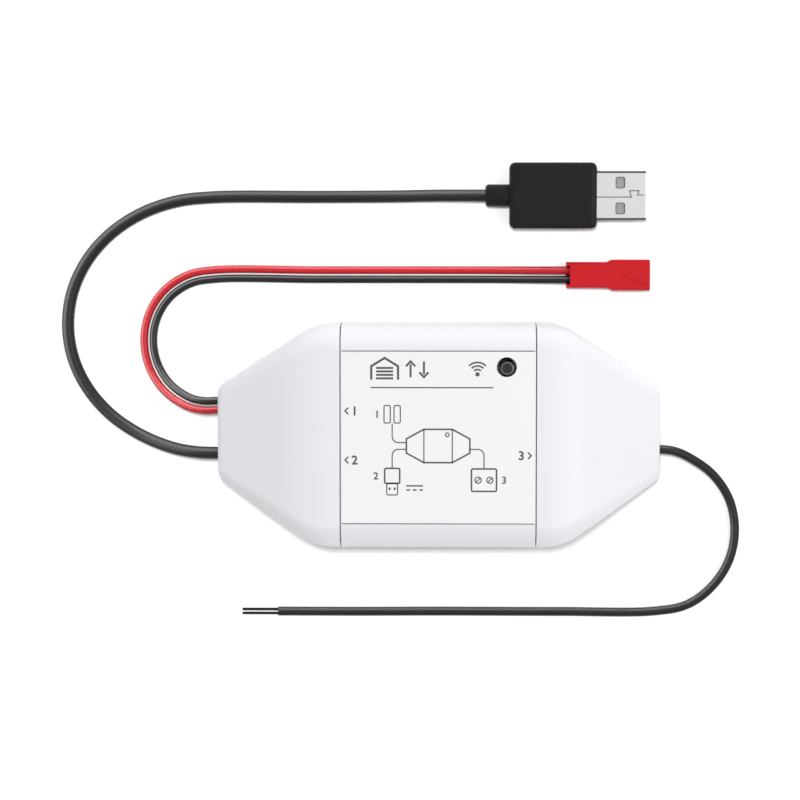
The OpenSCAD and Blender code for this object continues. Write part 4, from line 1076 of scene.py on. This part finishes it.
def metal_shell(s, root, front, axis):
    """Folded sheet shell with two windows on each broad side and a dovetailed seam on top."""
    wide, thick, sheet, soft = front.y - root.y, front.z - root.z, s.shell_sheet, 0.06 * MM
    places = [(root.x, 0.0), (front.x - soft, 0.0), (front.x - 0.3 * soft, 0.3 * soft), (front.x, soft)]
    shell = skin("shell", [tube_ring(axis, x, wide - 2 * pull, thick - 2 * pull, s.shell_radius - pull)
                           for x, pull in places])
    hollow = skin("hollow", [tube_ring(axis, x, wide - 2 * sheet, thick - 2 * sheet, s.shell_radius - sheet)
                             for x in (root.x - PAST, front.x + PAST)])
    window_x, window_y, corner, rim = front.x - s.shell_length + 5.7 * MM, 3.15 * MM, 0.4 * MM, 0.2 * MM
    levels = [(root.z - rim, 2 * rim), (root.z + rim, 0.0), (front.z - rim, 0.0), (front.z + rim, 2 * rim)]
    windows = []
    for side in (-1, 1):
        rings = []
        for z, wider in levels:
            ring = rounded_rectangle(s.window_length + 2 * wider, s.window_width + 2 * wider, corner + wider)
            rings.append([(window_x + u, axis.y + side * window_y + v, z) for u, v in ring])
        windows.append(skin("window", rings))
    combine(shell, "DIFFERENCE", hollow, *windows, *seam_cutters(s, root, front, axis, front.z - 2 * sheet))
    # The plating is painted dark along the folds of its long edges, a painted dark reflection, and on the
    # window walls, as painted shade.
    plating = paint_light_and_shade(plated("shell plating", s.shell, 0.2), (0.1, 0.1, 0.1))
    settle(shell, "plug_shell_piece", plating, ["plug_shell"], sharp=25)
    flat_y, flat_z = wide / 2 - 0.9 * s.shell_radius, thick / 2 - 0.9 * s.shell_radius
    rims, tiny = (root.z + rim, front.z - rim), 0.001 * MM
    # Marks the folds and the window walls that get this painted shade.
    mark_painted_light(shell.data, lambda p: abs(p.y - axis.y) > flat_y and abs(p.z - axis.z) > flat_z
              or any(abs(p.z - z) < tiny for z in rims))


def tube_ring(axis, x, wide, thick, r):
    """Rounded section of the metal shell at x."""
    return [(x, axis.y + u, axis.z + v) for u, v in rounded_rectangle(wide, thick, r)]


def seam_cutters(s, root, front, axis, low):
    """Solids of the seam's line with its dovetail, above a height."""
    lock, middle = front.x - s.shell_length + 8 * MM, axis.y - 0.38 * MM
    side, step = 1.55 * MM, 0.5 * MM
    line = [(root.x - PAST, 0.0), (lock + 0.4 * MM, 0.0), (lock - 0.05 * MM, side), (lock + 2.25 * MM, side),
            (lock + 1.9 * MM, step), (front.x + PAST, step)]
    solids = []
    for a, b in zip(line, line[1:]):
        ahead = (Vector(b) - Vector(a)).normalized() * s.seam_width / 2
        across = Vector((-ahead.y, ahead.x))
        start, end = Vector(a) - ahead, Vector(b) + ahead
        corners = [start + across, start - across, end - across, end + across]
        solids.append(prism("seam", [(p.x, middle + p.y) for p in corners], low, front.z + PAST))
    return solids


def grip_ring(axis, x, wide, thick, r, inset, crown=0.05, steps=8, across=13):
    """Section of the grip at x, pulled in by inset, slightly thinner towards its long sides."""
    points = rounded_rectangle(wide - 2 * inset, thick - 2 * inset, r - inset / 2, steps)
    n, top = steps + 1, max(v for u, v in points)
    flat = [(wide / 2 - r) * (1 - 2 * k / across) for k in range(1, across)]
    row = (points[:n] + [(u, top) for u in flat] + points[n:3 * n]
           + [(-u, -top) for u in flat] + points[3 * n:])
    return [(x, axis.y + u, axis.z + v * (1 - crown * (2 * u / wide) ** 4)) for u, v in row]


class CONTROLLER_OT_sensor_plug(Operator):
    """Two-way sensor plug with its pins"""
    bl_idname = "controller.sensor_plug"
    bl_label = "Sensor plug"

    def execute(self, context):
        s = context.scene.controller_plugs
        red = surface("red nylon", s.sensor, 0.4, depth=0.006, drift=0.06, specular=0.16)
        settle(sensor_plug_body(s), "sensor_plug_piece", red, ["sensor_plug"], sharp=10)
        gold = plated("pin plating", (0.8, 0.66, 0.42), 0.28)
        low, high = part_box("sensor_pins")
        r, pin_r, barrel, reach = (high.z - low.z) / 2, 0.5 * MM, 8.4 * MM, high.x - low.x
        bevel, crimp_r = 0.1 * MM, r - 0.15 * MM
        profile = [(r - bevel, 0.0), (r, bevel), (r, barrel * 0.3), (crimp_r, barrel * 0.36),
                   (crimp_r, barrel * 0.5), (r, barrel * 0.56), (r, barrel - bevel), (r - bevel, barrel),
                   (pin_r, barrel), (pin_r, reach - pin_r), (pin_r * 0.4, reach)]
        profile = [(radius, low.x + along) for radius, along in profile]
        pins = [lathe("pin", profile, (0.0, y, (low.z + high.z) / 2), axis="X", steps=32)
                for y in (low.y + r, high.y - r)]
        settle(combine(pins[0], "UNION", pins[1]), "pin_set", gold, ["sensor_pins"])
        return {"FINISHED"}


def sensor_plug_body(s):
    """Flared plug with slanted long edges, two ears at its back, a wedge mark and its openings."""
    low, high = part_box("sensor_plug")
    y, z, half = (low.y + high.y) / 2, (low.z + high.z) / 2, (high.y - low.y) / 2
    top, c, neck = high.z - s.mark_height, s.chamfer, s.sensor_neck / 2
    shroud = high.x - s.shroud_length
    sides = [(low.x, neck), (shroud, neck), (shroud + s.flare, half), (high.x, half)]
    bevel = [(1.1, 0.0), (0.92, 0.05), (0.05, 0.92), (0.0, 1.1)]
    levels = [(low.z + c * v, c * u) for u, v in bevel] + [(top - c * v, c * u) for u, v in reversed(bevel)]
    body = skin("sensor_plug", [[(px, y + w - inset, pz) for px, w in sides]
                                + [(px, y - w + inset, pz) for px, w in reversed(sides)]
                                for pz, inset in levels])
    tip, spread, slope = high.x - 7 * MM, half - s.shroud_wall, 0.25 * MM
    foot = [(tip, y), (high.x, y - spread), (high.x, y + spread)]
    crest = [(tip + 2.5 * slope, y), (high.x, y - spread + slope), (high.x, y + spread - slope)]
    combine(body, "UNION", skin("wedge", [[(px, py, pz) for px, py in points] for points, pz in
                                          ((foot, top - 0.1 * MM), (foot, top), (crest, high.z))]))
    ear_l, ear_w = 0.9 * MM, 0.8 * MM
    recess = block("recess", (low.x - PAST, y - neck + ear_w, low.z + ear_w),
                   (low.x + ear_l, y + neck - ear_w, high.z + PAST))
    back = high.x - s.shroud_depth
    mouth = block("mouth", (back, y - spread, low.z + s.shroud_wall),
                  (high.x + PAST, y + spread, top - s.shroud_wall))
    leads = bpy.context.scene.controller_leads
    r = leads.sensor_diameter / 2 + leads.clearance
    bores = [lathe("bore", [(r, low.x - PAST), (r, back + PAST)], (0.0, y + side * leads.sensor_pitch / 2, z),
                   axis="X", steps=32) for side in (-1, 1)]
    return combine(body, "DIFFERENCE", recess, mouth, *bores)


class CONTROLLER_OT_stage(Operator):
    """White floor, soft light and the camera"""
    bl_idname = "controller.stage"
    bl_label = "Stage"

    def execute(self, context):
        s, scene = context.scene.controller_stage, context.scene
        scene.view_settings.view_transform = "Standard"
        half, thick, below = 2.5, 0.02, 0.02 * MM
        floor = block("floor", (-half, -half, -thick), (half, half, -below))
        floor.data.materials.append(floor_finish(s))
        scene.world = studio_world(s)
        area_light("key light", (0.7, 0.0, 1.0), (0.6, 0.6), s.key_power)
        strip = area_light("strip light", (-0.25, 0.95, 0.28), (1.6, 0.16), s.strip_power)
        over = area_light("floor light", (-0.03, 0.155, 1.0), (0.1, 0.1), s.floor_power)
        strip.visible_glossy = over.visible_glossy = False
        over.light_linking.receiver_collection = light_group("floor")
        light_group("floor").objects.link(floor)
        away, up, size = 0.8, 0.32, (0.66, 0.8)
        for group, shaded in ((OPEN_LEADS, True), (SCREENED_LEAD, False)):
            for angle in (90, 135, 180):
                place = (away * cos(radians(angle)), away * sin(radians(angle)), up)
                lamp = area_light(f"{group} light {angle}", place, size, s.lead_power)
                lamp.visible_diffuse = False
                lamp.data.use_shadow = shaded
                lamp.data.cycles.use_multiple_importance_sampling = shaded
                lamp.light_linking.receiver_collection = light_group(group)
        scene.camera = add_camera(s)
        return {"FINISHED"}


def add_camera(s):
    """Camera that looks at its aim with the housing's back edge at the top of the picture."""
    camera = bpy.data.cameras.new("camera")
    camera.angle = s.camera_angle
    camera.clip_start, camera.clip_end = 0.01, 20.0
    obj = bpy.data.objects.new("camera", camera)
    bpy.context.scene.collection.objects.link(obj)
    back = (Vector(s.camera_place) - Vector(s.camera_aim)).normalized()
    right = Vector((0, 1, 0)).cross(back).normalized()
    turn = Matrix((right, back.cross(right), back)).transposed()
    obj.matrix_world = Matrix.Translation(s.camera_place) @ turn.to_4x4()
    return obj


def seen_plainly(tree):
    """Output that is 1 for rays that show the background: straight, mirrored or through glass."""
    rays = add_node(tree, "ShaderNodeLightPath").node.outputs
    seen = rays["Is Camera Ray"]
    for kind in ("Is Glossy Ray", "Is Transmission Ray"):
        seen = add_node(tree, "ShaderNodeMath", {0: seen, 1: rays[kind]}, operation="MAXIMUM")
    return seen


def floor_finish(s):
    """Matt floor that keeps shadows, stays white far away, and lights the object less than it shows."""
    material = bpy.data.materials.new("floor")
    material.use_nodes = True
    tree = material.node_tree
    tree.nodes.clear()
    seen = seen_plainly(tree)
    shade = mixed(tree, seen, (*(Vector(s.floor) * s.floor_bounce), 1), (*s.floor, 1))
    matt = add_node(tree, "ShaderNodeBsdfDiffuse", {"Color": shade})
    place = add_node(tree, "ShaderNodeTexCoord").node.outputs["Object"]
    away = add_node(tree, "ShaderNodeVectorMath", {0: place}, operation="LENGTH")
    lift = add_node(tree, "ShaderNodeMapRange", {
        "Value": away, "From Min": 0.3, "From Max": 1.2, "To Min": 0.0, "To Max": s.far_lift})
    lift = add_node(tree, "ShaderNodeMath", {0: seen, 1: lift}, operation="MULTIPLY")
    glow = add_node(tree, "ShaderNodeEmission", {"Strength": lift})
    both = add_node(tree, "ShaderNodeAddShader", {0: matt, 1: glow})
    add_node(tree, "ShaderNodeOutputMaterial", {"Surface": both})
    return material


def studio_world(s):
    """White surroundings in the picture and in reflections, and a soft ambient light."""
    world = bpy.data.worlds.new("studio")
    world.use_nodes = True
    tree = world.node_tree
    back = tree.nodes["Background"].inputs
    back["Color"].default_value = (1, 1, 1, 1)
    strength = add_node(tree, "ShaderNodeMapRange", {
        "Value": seen_plainly(tree), "To Min": s.ambient, "To Max": 1.0})
    tree.links.new(strength, back["Strength"])
    return world


def area_light(name, place, size, watts):
    """Rectangular lamp that faces the object."""
    lamp = bpy.data.lights.new(name, "AREA")
    lamp.shape = "RECTANGLE"
    lamp.size, lamp.size_y = size
    lamp.energy = watts
    obj = bpy.data.objects.new(name, lamp)
    obj.location = place
    obj.rotation_mode = "QUATERNION"
    obj.rotation_quaternion = (-Vector(place)).to_track_quat("-Z", "Y")
    obj.visible_camera = False
    bpy.context.scene.collection.objects.link(obj)
    return obj


def light_group(name):
    """Collection of objects that have lamps of their own."""
    return bpy.data.collections.get(name) or bpy.data.collections.new(name)


class CONTROLLER_PT_sidebar(Panel):
    """Settings and steps of the controller"""
    bl_idname = "CONTROLLER_PT_sidebar"
    bl_label = "Garage Door Controller"
    bl_space_type = "VIEW_3D"
    bl_region_type = "UI"
    bl_category = "Controller"

    def draw(self, context):
        for key in SETTINGS:
            group = getattr(context.scene, key)
            part = self.layout.box()
            for field in group.__annotations__:
                part.prop(group, field)
        for step in STEPS:
            self.layout.operator(step.bl_idname)


SETTINGS = {"controller_housing": HousingSettings, "controller_leads": LeadSettings,
            "controller_plugs": PlugSettings, "controller_stage": StageSettings}
STEPS = [CONTROLLER_OT_stage, CONTROLLER_OT_power_plug, CONTROLLER_OT_sensor_plug, CONTROLLER_OT_leads,
         CONTROLLER_OT_base, CONTROLLER_OT_cover, CONTROLLER_OT_end_caps, CONTROLLER_OT_label,
         CONTROLLER_OT_button, CONTROLLER_OT_screws, CONTROLLER_OT_board]


def register():
    """Adds the settings, the steps and the panel to Blender."""
    for item in [*SETTINGS.values(), *STEPS, CONTROLLER_PT_sidebar]:
        bpy.utils.register_class(item)
    for key, group in SETTINGS.items():
        setattr(bpy.types.Scene, key, PointerProperty(type=group))


def unregister():
    """Takes them out again."""
    for key in SETTINGS:
        delattr(bpy.types.Scene, key)
    for item in [CONTROLLER_PT_sidebar, *reversed(STEPS), *SETTINGS.values()]:
        bpy.utils.unregister_class(item)


def main():
    """Builds the controller on its stage."""
    register()
    for step in STEPS:
        group, name = step.bl_idname.split(".")
        getattr(getattr(bpy.ops, group), name)()
    bpy.context.view_layer.update()


if __name__ == "__main__":
    main()
